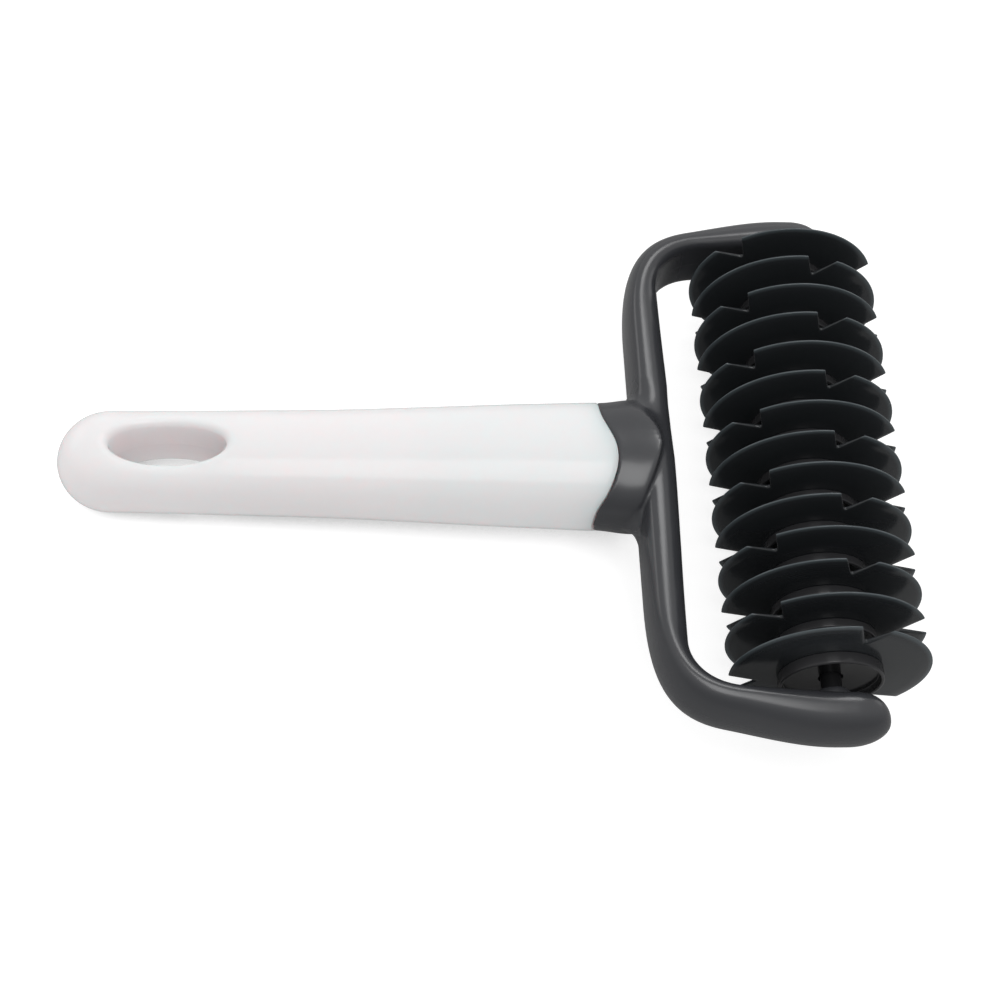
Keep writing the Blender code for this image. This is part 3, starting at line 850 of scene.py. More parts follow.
@dataclass
class Handle:
    """White grip that thins to its round tail, with a hanging hole and the tang's socket."""

    meeting: Meeting
    width_shares: tuple[float, ...] = (
        0.779, 0.789, 0.803, 0.818, 0.833, 0.858, 0.892, 0.927, 0.961, 0.985, 1.003
    )
    bend_length: float = 20.0
    tail_round: float = 11.8
    tail_steps: int = 15
    tail_first_deg: float = 3.0
    body_steps: int = 96
    hole_from_tail: float = 25.0
    hole_half_length: float = 12.7
    hole_half_width: float = 4.9
    hole_draft: float = 0.3
    hole_rim: float = 2.2
    hole_oval: Oval = Oval(0.01)
    hole_margin: float = 2.4
    patch_start_deg: float = 37.5
    patch_steps: int = 5
    rim_steps: int = 8
    wall_steps: int = 6
    face_steps: int = 3
    socket_clearance: float = 0.3

    @property
    def tail(self) -> float:
        """Place of the tail's tip."""
        return self.meeting.head - self.meeting.handle_length

    @property
    def tail_centre(self) -> float:
        """Place where the tail starts to round off."""
        return self.tail + self.tail_round

    @property
    def hole_centre(self) -> float:
        """Place of the hanging hole's middle."""
        return self.tail + self.hole_from_tail

    def half_width(self, x: float) -> float:
        """Half of the handle's width at a place along it."""
        share = (x - self.tail_centre) / (self.meeting.head - self.tail_centre)
        width = self.meeting.half_width * smooth_through(self.width_shares, share)
        past = max(self.tail_centre - x, 0) / self.tail_round
        return width * math.sqrt(max(1 - past * past, 0))

    def places(self) -> list[tuple[float, float]]:
        """Places the sections along the handle.

        Returns:
            Each section's place, from tail to head, and its inset at the head's lip.
        """
        found = []
        for i in range(self.tail_steps):
            angle = math.radians(mix(self.tail_first_deg, 90, i / self.tail_steps))
            found.append((self.tail_centre - self.tail_round * math.cos(angle), 0.0))
        lip = self.meeting.lip
        for i in range(self.body_steps):
            found.append((mix(self.tail_centre, self.meeting.head - lip, i / self.body_steps), 0.0))
        for sine, cosine in quarter(self.meeting.lip_steps):
            found.append((self.meeting.head - lip * (1 - sine), lip * (1 - cosine)))
        return found

    def section(self, x: float, inset: float) -> list[Vector]:
        """Loop of the handle's skin at a place, drawn in by an inset."""
        half_width = self.half_width(x)
        half_height = half_width * self.meeting.height_share
        bent = ease((x - self.meeting.head + self.bend_length) / self.bend_length)
        sags = [sag * bent for sag in self.meeting.sags]
        return self.meeting.loop(x, half_width - inset, half_height - inset, sags)

    def rise(self, x: float, y: float) -> float:
        """Height of the skin over the middle line at a place in plan."""
        half_width = self.half_width(x)
        return half_width * self.meeting.height_share * self.meeting.oval.up(y / half_width)

    def hole_point(self, angle: float, grow: float) -> tuple[float, float]:
        """Plan point of the hole's outline, grown by a distance."""
        along, across = self.hole_oval.at(angle)
        x = self.hole_centre + (self.hole_half_length + grow) * along
        return x, (self.hole_half_width + grow) * across

    def spoke(self, x: float, y: float) -> list[tuple[float, float, float]]:
        """Points from the skin round the hole, over its soft rim and down its wall.

        Args:
            x: Place in plan of the skin's point that the spoke starts from.
            y: Its place across.

        Returns:
            Plan places and heights over the middle line, from beside the start to the waist.
        """
        top = self.hole_draft + self.hole_rim
        angle = math.atan2(
            y / (self.hole_half_width + top), (x - self.hole_centre) / (self.hole_half_length + top)
        )
        rim_x, rim_y = self.hole_point(angle, top)
        points = []
        for k in range(1, self.patch_steps + 1):
            share = k / self.patch_steps
            px, py = mix(x, rim_x, share), mix(y, rim_y, share)
            points.append((px, py, self.rise(px, py)))
        reference = self.half_width(self.hole_centre) * self.meeting.height_share - self.hole_rim
        corner_x, corner_y = self.hole_point(angle, self.hole_draft)
        corner = Vector((corner_x, corner_y, self.rise(corner_x, corner_y)))
        foot_height = corner.z - self.hole_rim
        foot_plan = self.hole_point(angle, self.hole_draft * foot_height / reference)
        start, foot = Vector(points[-1]), Vector((*foot_plan, foot_height))
        pulls = (start.lerp(corner, CIRCLE_PULL), foot.lerp(corner, CIRCLE_PULL))
        points += [tuple(p) for p in interpolate_bezier(start, *pulls, foot, self.rim_steps + 1)[1:]]
        for k in range(1, self.wall_steps + 1):
            height = foot_height * (1 - k / self.wall_steps)
            points.append((*self.hole_point(angle, self.hole_draft * height / reference), height))
        return points

    def mesh(self) -> bpy.types.Mesh:
        """Builds the whole grip.

        Returns:
            Its mesh in the cutter's own frame.
        """
        skin = Skin()
        places = self.places()
        sections = [self.section(*place) for place in places]
        rows = [skin.loop(points) for points in sections]
        rounds = self.meeting.rounds
        reach = self.hole_half_length + self.hole_draft + self.hole_rim + self.hole_margin
        inside = [i for i, place in enumerate(places) if abs(place[0] - self.hole_centre) <= reach]
        first, last = inside[0], inside[-1]
        low = round(self.patch_start_deg * rounds / 360)
        high = rounds // 2 - low
        opened = frozenset(range(low, high)) | frozenset(range(rounds - high, rounds - low))
        for i in range(len(rows) - 1):
            skin.band(rows[i], rows[i + 1], opened if first <= i < last else frozenset())
        skin.point(rows[0], Vector((self.tail, 0, self.meeting.middle(self.tail))))
        border = [(first, j) for j in range(low, high)]
        border += [(i, high) for i in range(first, last)]
        border += [(last, j) for j in range(high, low, -1)]
        border += [(i, low) for i in range(last, first, -1)]
        spokes = [self.spoke(*sections[i][j][:2]) for i, j in border]
        loops = [[rows[i][j] for i, j in border]]
        count = len(spokes[0])
        steps = [(k, 1) for k in range(count)] + [(k, -1) for k in range(count - 2, -1, -1)]
        for k, side in steps:
            points = [spoke[k] for spoke in spokes]
            loops.append(skin.loop((x, y, self.meeting.middle(x) + side * z) for x, y, z in points))
        loops.append([rows[i][(rounds - j) % rounds] for i, j in border])
        for this, after in zip(loops, loops[1:]):
            skin.band(this, after)
        waist = loops[count]
        for i, vertex in enumerate(waist):
            edge = skin.shape.edges.get((vertex, waist[(i + 1) % len(waist)]))
            edge.smooth = False
        self.close_head(skin, rows[-1], sections[-1])
        return skin.mesh("grip_moulding")

    def close_head(self, skin: Skin, row: list, section: list[Vector]) -> None:
        """Closes the head with its curved face and the tang's socket.

        Args:
            skin: The skin in the making.
            row: Vertices of its last loop.
            section: Points of that loop.
        """
        meeting = self.meeting
        head = meeting.head
        end = head - meeting.tang_length - self.socket_clearance

        def mouth(x: float, point: Vector) -> tuple[float, float]:
            """Place on the socket's rectangle in the direction of a point of the skin."""
            half_width, half_height = meeting.tang_half_sizes(x, self.socket_clearance)
            y, z = point.y, point.z - meeting.middle(head)
            grow = 1 / max(abs(y) / half_width, abs(z) / half_height)
            return y * grow, z * grow

        for k in range(1, self.face_steps + 1):
            share = k / self.face_steps
            points = []
            for point in section:
                y, z = mouth(head, point)
                y, z = mix(point.y, y, share), mix(point.z, meeting.middle(head) + z, share)
                points.append((head - meeting.sag(y), y, z))
            after = skin.loop(points)
            skin.band(row, after)
            row = after
        bottom = []
        for point in section:
            y, z = mouth(end, point)
            bottom.append((end, y, meeting.middle(end) + z))
        after = skin.loop(bottom)
        skin.band(row, after)
        skin.cap(after)

    def build(self, bench: Workbench) -> bpy.types.Object:
        """Builds and dresses the grip."""
        mesh = self.mesh()
        mesh.materials.append(WHITE_GLOSS.material(bench.effects))
        return bench.lay("grip_moulding", mesh, Body.FRAME, "handle_grip")


@dataclass
class Fork:
    """Grey moulding: a bar with two arms and their bosses, the collar and its root, the tang."""

    meeting: Meeting
    bar_front: float = -30.3
    bar_thickness: float = 9.1
    half_height: float = 8.0
    bar_bow: float = 0.8
    bar_crown_share: float = 0.64
    bar_edge_drop: float = 4.5
    arm_crown_share: float = 0.3
    arm_edge_drop: float = 2.2
    arm_inside: float = 59.4
    arm_thickness: float = 9.35
    arm_splay: float = 1.5
    inner_bend_radius: float = 11.0
    outer_bend_along_bar: float = 25.0
    outer_bend_along_arm: float = 15.3
    outer_bend_offset: float = 4.8
    outer_pull_shares: tuple[float, float] = (0.64, 0.74)
    outer_lift_share: float = 1.27
    tip_reach: float = 11.7
    tip_middle_share: float = 0.5
    tip_outer_start: float = 2.6
    tip_inner_start: float = 4.0
    tip_round_start: float = 3.2
    tip_last_deg: float = 84.0
    bar_steps: int = 24
    bend_steps: int = 22
    arm_steps: int = 18
    tip_steps: int = 16
    crown_steps: int = 30
    edge_steps: int = 8
    collar_nose: float = 5.8
    nose_sags: tuple[float, ...] = (5.8, 4.5, 3.2, 2.05, 1.05, 0.4, 0.4, 1.2, 2.7, 4.1, 5.2)
    collar_flare: float = 0.9
    collar_fall: float = 0.35
    collar_steps: int = 6
    shoulder_radius: float = 0.6
    shoulder_drop: float = 5.2
    shoulder_foot: float = 2.2
    shoulder_steps: int = 8
    root_fillet: float = 3.5
    root_height_share: float = 0.93
    root_steps: int = 10
    root_bury: float = 1.0
    tang_bury: float = 2.0
    boss_radius: float = 3.9
    boss_height: float = 2.6
    boss_edge: float = 0.45
    boss_edge_steps: int = 4
    bore_radius: float = 2.5
    bore_chamfer: float = 0.3
    bore_depth: float = 4.23
    boss_rounds: int = 64
    overrun: float = 2.0
    cell: float = 0.35
    smoothing: float = 0.5
    crease_rounds: int = 3
    all_rounds: int = 2
    far_rounds: int = 22
    far_bands: int = 6
    far_band: float = 1.4
    far_end: float = 19.0
    far_end_step: float = 0.9

    @property
    def bar_back(self) -> float:
        """Place of the bar's back."""
        return self.bar_front - self.bar_thickness

    def inner_rail(self) -> list[tuple[float, float]]:
        """Follows half the fork's inner side in plan.

        Returns:
            The rail's points, from the bar's middle to the axle.
        """
        bar_x = self.bar_front - self.bar_bow
        arm_x = bar_x + self.inner_bend_radius
        arm_y = self.arm_inside - self.arm_splay
        bend_y = arm_y - self.inner_bend_radius
        pull = self.inner_bend_radius * CIRCLE_PULL
        slope = self.arm_splay / -arm_x
        shares = [i / self.bar_steps for i in range(self.bar_steps)]
        rail = [(self.bar_front - self.bar_bow * ease(share), bend_y * share) for share in shares]
        ends = ((bar_x, bend_y), (bar_x, bend_y + pull))
        rail += curve_run((*ends, (arm_x - pull, arm_y - pull * slope), (arm_x, arm_y)), self.bend_steps)
        for i in range(self.arm_steps):
            share = i / self.arm_steps
            rail.append((mix(arm_x, 0, share), mix(arm_y, self.arm_inside, share)))
        return rail

    def outer_rail(self) -> list[tuple[float, float]]:
        """Follows half the fork's outer side in plan.

        Returns:
            The rail's points, in step with the inner side's.
        """
        back = self.bar_back
        bend_y = self.arm_inside - self.outer_bend_along_bar
        arm_x = back + self.outer_bend_along_arm
        arm_y = self.arm_inside + self.outer_bend_offset
        outside = self.arm_inside + self.arm_thickness
        slope = (outside - arm_y) / -arm_x * self.outer_lift_share
        pull_bar = (arm_y - bend_y) * self.outer_pull_shares[0]
        pull_arm = self.outer_bend_along_arm * self.outer_pull_shares[1]
        pull_top = -arm_x / 3
        rail = [(back, bend_y * i / self.bar_steps) for i in range(self.bar_steps)]
        ends = ((back, bend_y), (back, bend_y + pull_bar))
        pulled = (arm_x - pull_arm, arm_y - pull_arm * slope)
        rail += curve_run((*ends, pulled, (arm_x, arm_y)), self.bend_steps)
        ends = ((arm_x, arm_y), (arm_x + pull_top, arm_y + pull_top * slope))
        rail += curve_run((*ends, (-pull_top, outside), (0, outside)), self.arm_steps)
        return rail

    def section(
        self, inner: tuple, outer: tuple, half_height: float, crown: float, drop: float
    ) -> list[Vector]:
        """Gives an upright section that is flat inside and rounded outside.

        Args:
            inner: Plan point of its inner side.
            outer: Plan point of its outer side.
            half_height: Half of its height.
            crown: Share of its thickness at which the top is highest.
            drop: How far the inner edges drop.

        Returns:
            The section's points.
        """
        shape = []
        for i in range(self.crown_steps + 1):
            angle = math.pi / 2 - math.pi * i / self.crown_steps
            shape.append((mix(crown, 1, math.cos(angle)), half_height * math.sin(angle)))
        under = [
            (crown * (1 - sine), drop * (1 - cosine) - half_height)
            for sine, cosine in quarter(self.edge_steps)[1:]
        ]
        shape += under + [(across, -height) for across, height in reversed(under)]
        inner, outer = Vector(inner), Vector(outer)
        return [Vector((*inner.lerp(outer, across), height)) for across, height in shape]

    def rounded_off(self, x: float, start: float, full: float) -> float:
        """A size that is full up to a start and rounds off to nothing at the arm's tip."""
        share = max(x - start, 0) / (self.tip_reach - start)
        return full * math.sqrt(1 - share * share)

    def half_sections(self) -> list[list[Vector]]:
        """Gives the sections of half the fork.

        Returns:
            The sections, from the middle of the bar to the tip of the arm.
        """
        sections = []
        for i, (inner, outer) in enumerate(zip(self.inner_rail(), self.outer_rail())):
            bent = ease((i - self.bar_steps) / self.bend_steps)
            crown = mix(self.bar_crown_share, self.arm_crown_share, bent)
            drop = mix(self.bar_edge_drop, self.arm_edge_drop, bent)
            sections.append(self.section(inner, outer, self.half_height, crown, drop))
        middle = self.arm_inside + self.arm_thickness * self.tip_middle_share
        outer_half = self.arm_inside + self.arm_thickness - middle
        for i in range(self.tip_steps + 1):
            x = self.tip_reach * math.sin(math.radians(self.tip_last_deg * i / self.tip_steps))
            inner = middle - self.rounded_off(x, self.tip_inner_start, middle - self.arm_inside)
            outer = middle + self.rounded_off(x, self.tip_outer_start, outer_half)
            height = self.rounded_off(x, self.tip_round_start, self.half_height)
            drop = self.arm_edge_drop * height / self.half_height
            sections.append(self.section((x, inner), (x, outer), height, self.arm_crown_share, drop))
        return sections

    def collar_loops(self) -> list[list[Vector]]:
        """Gives the loops of the collar.

        Returns:
            The loops, from its lip at the handle to its shoulder over the bar.
        """
        meeting = self.meeting
        back = meeting.collar_back
        nose = self.bar_back + self.collar_nose
        plain_end = nose - self.shoulder_radius
        lip, radius, foot = meeting.lip, self.shoulder_radius, self.shoulder_foot
        places = []
        for sine, cosine in quarter(meeting.lip_steps):
            places.append((back + lip * (1 - cosine), lip * (1 - sine)))
        for i in range(1, self.collar_steps):
            places.append((mix(back + lip, plain_end, i / self.collar_steps), 0.0))
        for sine, cosine in quarter(self.shoulder_steps):
            places.append((plain_end + radius * sine, radius * (1 - cosine)))
        for sine, cosine in quarter(self.shoulder_steps):
            places.append((nose + foot * (1 - cosine), self.shoulder_drop - foot * (1 - sine)))
        loops = []
        for x, inset in places:
            share = ease((x - back) / (plain_end - back))
            half_width = meeting.half_width + self.collar_flare * share
            half_height = half_width * meeting.height_share - self.collar_fall * share
            sags = [mix(low, high, share) for low, high in zip(meeting.sags, self.nose_sags)]
            loops.append(meeting.loop(x, half_width - inset, half_height - inset, sags))
        return loops

    def root_loops(self) -> list[list[Vector]]:
        """Gives the loops of the collar's foot.

        Returns:
            The loops, which widen into the bar's back in a round corner.
        """
        half_height = self.half_height * self.root_height_share
        plain = self.meeting.half_width + self.collar_flare
        places = [
            (self.bar_back - self.root_fillet * (1 - sine), plain + self.root_fillet * (1 - cosine))
            for sine, cosine in quarter(self.root_steps)
        ]
        places.append((self.bar_back + self.root_bury, places[-1][1]))
        return [self.meeting.loop(x, half_width, half_height, (0.0, 0.0)) for x, half_width in places]

    def tang_loop(self, x: float) -> list[Vector]:
        """The tang's rectangle at a place along the handle."""
        half_width, half_height = self.meeting.tang_half_sizes(x, 0)
        corners = ((1, -1), (1, 1), (-1, 1), (-1, -1))
        return [Vector((x, half_width * a, self.meeting.middle(x) + half_height * b)) for a, b in corners]

    def along_axle(self, profile: Sequence[tuple[float, float]], side: Side) -> list[list[Vector]]:
        """Turns a profile about the axle.

        Args:
            profile: Radii and distances from the middle.
            side: The end of the axle that it lies at.

        Returns:
            The loops of the turned shape.
        """
        loops = []
        for radius, distance in profile:
            points = circle(radius, 0, self.boss_rounds)
            loops.append([Vector((p.x, distance * side.value, p.y)) for p in points])
        return loops

    def mesh(self) -> bpy.types.Mesh:
        """Builds the whole moulding.

        Returns:
            Its mesh in the cutter's own frame.
        """
        shells = Skin()
        half = self.half_sections()
        shells.run(mirrored(half[1:]) + half, Ends.CAPPED)
        shells.run(self.collar_loops(), Ends.STRIPPED)
        shells.run(self.root_loops(), Ends.STRIPPED)
        tang_start = self.meeting.collar_back + self.tang_bury
        tang_end = self.meeting.head - self.meeting.tang_length
        shells.run([self.tang_loop(tang_start), self.tang_loop(tang_end)], Ends.CAPPED)
        face = self.arm_inside - self.boss_height
        edge = self.boss_edge
        boss = [
            (self.boss_radius - edge * (1 - sine), face + edge * (1 - cosine))
            for sine, cosine in quarter(self.boss_edge_steps)
        ]
        boss.append((self.boss_radius, self.arm_inside + self.overrun))
        grow = self.bore_chamfer + self.overrun
        bore = (
            (self.bore_radius + grow, face - self.overrun),
            (self.bore_radius, face + self.bore_chamfer),
            (self.bore_radius, self.arm_inside + self.bore_depth),
        )
        bores = Skin()
        for side in Side:
            shells.run(self.along_axle(boss, side), Ends.CAPPED)
            bores.run(self.along_axle(bore, side), Ends.CAPPED)
        fused = through_modifier(
            shells.mesh("fork_shells"),
            "REMESH",
            mode="VOXEL",
            voxel_size=self.cell * MM,
            use_smooth_shade=True,
        )
        self.soften(fused)
        mesh = cut_away(fused, bores.mesh("bores"))
        mesh.name = "fork_moulding"
        mesh.shade_smooth()
        return mesh

    def soften(self, mesh: bpy.types.Mesh) -> None:
        """Softens the skin, rounds the creases at the collar and melts its far half into the bar.

        Args:
            mesh: The fused skin, which is changed.
        """
        shape = bmesh.new()
        shape.from_mesh(mesh)
        back = (self.meeting.collar_back + 2 * self.meeting.lip) * MM
        front = (self.bar_front + self.overrun) * MM
        side = (self.meeting.half_width + self.collar_flare + 2 * self.root_fillet) * MM
        creases = [v for v in shape.verts if back < v.co.x < front and abs(v.co.y) < side]
        start = (self.bar_back - self.shoulder_radius) * MM
        low = (self.meeting.middle(self.bar_back) + self.shoulder_drop / 2) * MM
        far = [v for v in creases if v.co.x > start and v.co.z > low]
        groups = [(shape.verts[:], self.all_rounds), (creases, self.crease_rounds)]
        for k in range(self.far_bands):
            first, last = k * self.far_band * MM, (self.far_end - k * self.far_end_step) * MM
            band = [v for v in far if first < v.co.y < last]
            groups.append((band, self.far_rounds))
        axes = dict.fromkeys(("use_axis_x", "use_axis_y", "use_axis_z"), True)
        for points, rounds in groups:
            for _ in range(rounds):
                bmesh.ops.smooth_vert(shape, verts=points, factor=self.smoothing, **axes)
        shape.to_mesh(mesh)
        shape.free()

    def build(self, bench: Workbench) -> bpy.types.Object:
        """Builds and dresses the fork."""
        mesh = self.mesh()
        mesh.materials.append(GREY_SATIN.material(bench.effects))
        return bench.lay("fork_moulding", mesh, Body.FRAME, "fork_frame")


# Roller


@dataclass(frozen=True)
class Hexagon:
    """Section of the axle, which turns the discs."""

    across_flats: float = 7.0
    clearance: float = 0.3

    def radius(self, angle: float, grow: float = 0.0) -> float:
        """Distance to the flats in a direction, with corners every 60 degrees from 0."""
        from_flat = angle % (math.pi / 3) - math.pi / 6
        return (self.across_flats / 2 + grow) / math.cos(from_flat)


@dataclass
class CutterDisc:
    """Thin disc with V notches, thick round its bore and thin at its rim."""

    hexagon: Hexagon
    radius: float = 22.0
    hub_thickness: float = 1.1
    rim_thickness: float = 0.4
    flat_radius: float = 12.2
    notch_count: int = 3
    notch_depth: float = 6.5
    notch_width: float = 7.9
    tip_radius: float = 0.35
    root_radius: float = 0.5
    edge: float = 0.13
    edge_steps: int = 2
    arc_steps: int = 34
    wall_steps: int = 4
    corner_steps: int = 4
    face_shares: tuple[float, ...] = (0.35, 0.7, 1.0)

    def half_thickness(self, radius: float) -> float:
        """Half of the disc's thickness at a distance from its axis."""
        share = max(radius - self.flat_radius, 0) / (self.radius - self.flat_radius)
        return mix(self.hub_thickness, self.rim_thickness, share) / 2

    def outline(self) -> list[Vector]:
        """Draws the plan outline with its notches.

        Returns:
            The outline's points, a little rounded at the notches' corners.
        """
        root = self.radius - self.notch_depth
        slope = Vector((self.notch_depth, self.notch_width / 2)).normalized()
        along = root * slope.x
        reach = math.sqrt(self.radius**2 - root**2 + along**2) - along
        foot = Vector((root, 0))
        tip = foot + slope * reach
        half_mouth = math.atan2(tip.y, tip.x)
        wall = [(*(foot + slope * reach * k / self.wall_steps), 0) for k in range(1, self.wall_steps)]
        notch = [(tip.x, -tip.y, self.tip_radius)]
        notch += [(x, -y, 0) for x, y, _ in reversed(wall)]
        notch += [(root, 0, self.root_radius)] + wall + [(tip.x, tip.y, self.tip_radius)]
        step = math.tau / self.notch_count
        for k in range(1, self.arc_steps):
            angle = mix(half_mouth, step - half_mouth, k / self.arc_steps)
            notch.append((self.radius * math.cos(angle), self.radius * math.sin(angle), 0))
        corners = []
        for number in range(self.notch_count):
            turn = Matrix.Rotation(step * number, 2)
            corners += [(*(turn @ Vector((x, y))), radius) for x, y, radius in notch]
        return rounded(corners, self.corner_steps)

    def mesh(self) -> bpy.types.Mesh:
        """Builds one disc about its local Z axis.

        Returns:
            The mesh that every disc is copied from.
        """
        outline = self.outline()
        columns = []
        for i, point in enumerate(outline):
            along = outline[(i + 1) % len(outline)] - outline[i - 1]
            outward = Vector((along.y, -along.x)).normalized()
            direction = point.normalized()
            bore = self.hexagon.radius(math.atan2(point.y, point.x), self.hexagon.clearance)
            drawn_in = point - outward * self.edge
            radii = (bore, mix(bore, self.flat_radius, 0.5), self.flat_radius)
            spots = [direction * radius for radius in radii]
            spots += [(direction * self.flat_radius).lerp(drawn_in, share) for share in self.face_shares]
            heights = [self.half_thickness(spot.length) for spot in spots]
            rim_height = heights[-1]
            for sine, cosine in quarter(self.edge_steps)[1:]:
                spots.append(point - outward * self.edge * (1 - sine))
                heights.append(rim_height - self.edge * (1 - cosine))
            columns.append([Vector((*spot, height)) for spot, height in zip(spots, heights)])
        top = [list(loop) for loop in zip(*columns)]
        under = [[Vector((p.x, p.y, -p.z)) for p in loop] for loop in reversed(top)]
        skin = Skin()
        skin.run(top + under, Ends.JOINED)
        return skin.mesh("cutter_disc_moulding")


@dataclass
class SpacerCup:
    """A shallow cup, with or without a core, measured from the middle of the disc it lies on."""

    bore: float
    core_reach: float = 0.0
    base: float = 0.6
    floor: float = 1.45
    cup_radius: float = 11.2
    cup_wall: float = 0.85
    cup_reach: float = 2.6
    core_wall: float = 0.9
    bore_edge: float = 0.1
    core_edge: float = 0.2
    fillet: float = 0.4
    lip_inner_edge: float = 0.3
    lip_outer_edge: float = 0.35
    base_edge: float = 0.15
    rounds: int = 96
    corner_steps: int = 4

    def mesh(self, name: str) -> bpy.types.Mesh:
        """Builds the cup about its local Z axis.

        Args:
            name: Name of the mesh.

        Returns:
            The mesh.
        """
        core = self.bore + self.core_wall
        inside = self.cup_radius - self.cup_wall
        profile = [(self.bore, max(self.core_reach, self.floor), self.bore_edge)]
        if self.core_reach > self.floor:
            profile += [(core, self.core_reach, self.core_edge), (core, self.floor, self.fillet)]
        profile += [
            (inside, self.floor, self.fillet),
            (inside, self.cup_reach, self.lip_inner_edge),
            (self.cup_radius, self.cup_reach, self.lip_outer_edge),
            (self.cup_radius, self.base, self.base_edge),
            (self.bore, self.base, self.bore_edge),
        ]
        skin = Skin()
        outline = rounded(profile, self.corner_steps)
        skin.run([circle(radius, height, self.rounds) for radius, height in outline], Ends.JOINED)
        return skin.mesh(name)


@dataclass
class Axle:
    """Hexagonal rod with a round journal at each end."""

    hexagon: Hexagon
    corner_deg: float = 135.2
    hex_end: float = 52.4
    journal_radius: float = 2.3
    journal_end: float = 63.2
    chamfer: float = 0.3
    sharp_deg: float = 30.0
    rounds: int = 72

    def loop(self, y: float, radius: float | None = None, inset: float = 0.0) -> list[Vector]:
        """Loop of the rod at a place along it: a circle, or the hexagon drawn in by an inset."""
        points = []
        for i in range(self.rounds):
            angle = math.tau * i / self.rounds
            distance = radius or self.hexagon.radius(angle, -inset)
            turned = angle + math.radians(self.corner_deg)
            points.append(Vector((distance * math.cos(turned), y, distance * math.sin(turned))))
        return points

    def mesh(self) -> bpy.types.Mesh:
        """Builds the axle in the cutter's own frame.

        Returns:
            The mesh.
        """
        end = self.journal_end
        half = [
            self.loop(end, self.journal_radius - self.chamfer),
            self.loop(end - self.chamfer, self.journal_radius),
            self.loop(self.hex_end, self.journal_radius),
            self.loop(self.hex_end, inset=self.chamfer),
            self.loop(self.hex_end - self.chamfer),
        ]
        skin = Skin()
        skin.run(half + mirrored(half), Ends.CAPPED)
        mesh = skin.mesh("axle_rod")
        mesh.set_sharp_from_angle(angle=math.radians(self.sharp_deg))
        return mesh


@dataclass
class Roller:
    """The discs on their axle, with a cup between each two and one at each end."""

    hexagon: Hexagon = Hexagon()
    count: int = 14
    pitch: float = 7.98
    notch_deg: float = 135.2
    flat_deg: float = 60.0
    slack_degs: tuple[float, ...] = (
        -1.1, 0, -0.6, -0.6, 0, -0.3, 0.6, -0.7, -0.6, 0.7, -0.1, 2.6, 2.0, -1.0
    )
    seat: float = 0.05
    disc_half: float = 0.55
    bore_clearance: float = 0.3
    end_bore: float = 2.7
    end_cup_radius: float = 11.5
    end_cup_reach: float = 3.15

    def disc_place(self, number: int) -> float:
        """Where a disc's middle lies along the axle: the first is farthest towards +Y."""
        return ((self.count - 1) / 2 - number) * self.pitch

    def disc_turn(self, number: int) -> float:
        """Angle from +X towards +Z of a disc's first notch, with its slack on the axle."""
        step = self.flat_deg * (number % 2)
        return math.radians(self.notch_deg - step + self.slack_degs[number % len(self.slack_degs)])

    @staticmethod
    def on_axle(y: float, turn: float = 0.0, top: Side = Side.NEAR) -> Matrix:
        """Gives the place of a piece that is made about its local Z axis.

        Args:
            y: Where its origin lies along the axle, in millimetres.
            turn: Its turn from +X towards +Z.
            top: The end of the axle that its local +Z points to.

        Returns:
            Its matrix in the cutter's own frame.
        """
        lean = Matrix.Rotation(-math.pi / 2 * top.value, 4, "X")
        return Matrix.Translation((0, y * MM, 0)) @ Matrix.Rotation(-turn, 4, "Y") @ lean

    def build(self, bench: Workbench) -> None:
        """Builds and dresses the axle, the discs and the cups."""
        axle = Axle(self.hexagon).mesh()
        axle.materials.append(BLACK_AXLE.material(bench.effects))
        bench.lay("axle_rod", axle, Body.ROLLER, "hex_axle")
        disc = CutterDisc(self.hexagon).mesh()
        disc.materials.append(BLACK_DISC.material(bench.effects))
        core_bore = self.hexagon.radius(0.0) + self.bore_clearance
        core_reach = self.pitch - self.disc_half - self.seat
        cup = SpacerCup(core_bore, core_reach).mesh("spacer_cup")
        end_sizes = {"cup_radius": self.end_cup_radius, "cup_reach": self.end_cup_reach}
        end_cup = SpacerCup(self.end_bore, **end_sizes).mesh("end_cup")
        spacer_black = BLACK_SPACER.material(bench.effects)
        for mesh in (cup, end_cup):
            mesh.materials.append(spacer_black)
        for number in range(self.count):
            label = f"{number + 1:02d}"
            y = self.disc_place(number)
            place = self.on_axle(y, self.disc_turn(number))
            bench.lay("disc_" + label, disc, Body.ROLLER, "cutter_disc_" + label, place)
            if number < self.count - 1:
                place = self.on_axle(y)
                bench.lay("cup_" + label, cup, Body.ROLLER, "spacer_" + label, place)
        for side, number in ((Side.NEAR, self.count - 1), (Side.FAR, 0)):
            name = side.name.lower()
            place = self.on_axle(self.disc_place(number), top=side)
            bench.lay("end_cup_" + name, end_cup, Body.ROLLER, "end_hub_" + name, place)


# Studio and camera


@dataclass(frozen=True)
class Lamp:
    """A soft box over the cutter, in millimetres and watts."""

    name: str
    place: tuple[float, float, float]
    size: tuple[float, float]
    power: float
    aim: tuple[float, float, float] = (0.0, 0.0, 10.0)

    def build(self) -> None:
        """Hangs the lamp and turns it to the place that it lights."""
        light = bpy.data.lights.new(self.name, "AREA")
        light.shape = "RECTANGLE"
        light.size, light.size_y = (side * MM for side in self.size)
        light.energy = self.power
        obj = put(self.name, light)
        obj.location = Vector(self.place) * MM
        towards = (Vector(self.aim) - Vector(self.place)).normalized()
        obj.rotation_euler = towards.to_track_quat("-Z", "Y").to_euler()


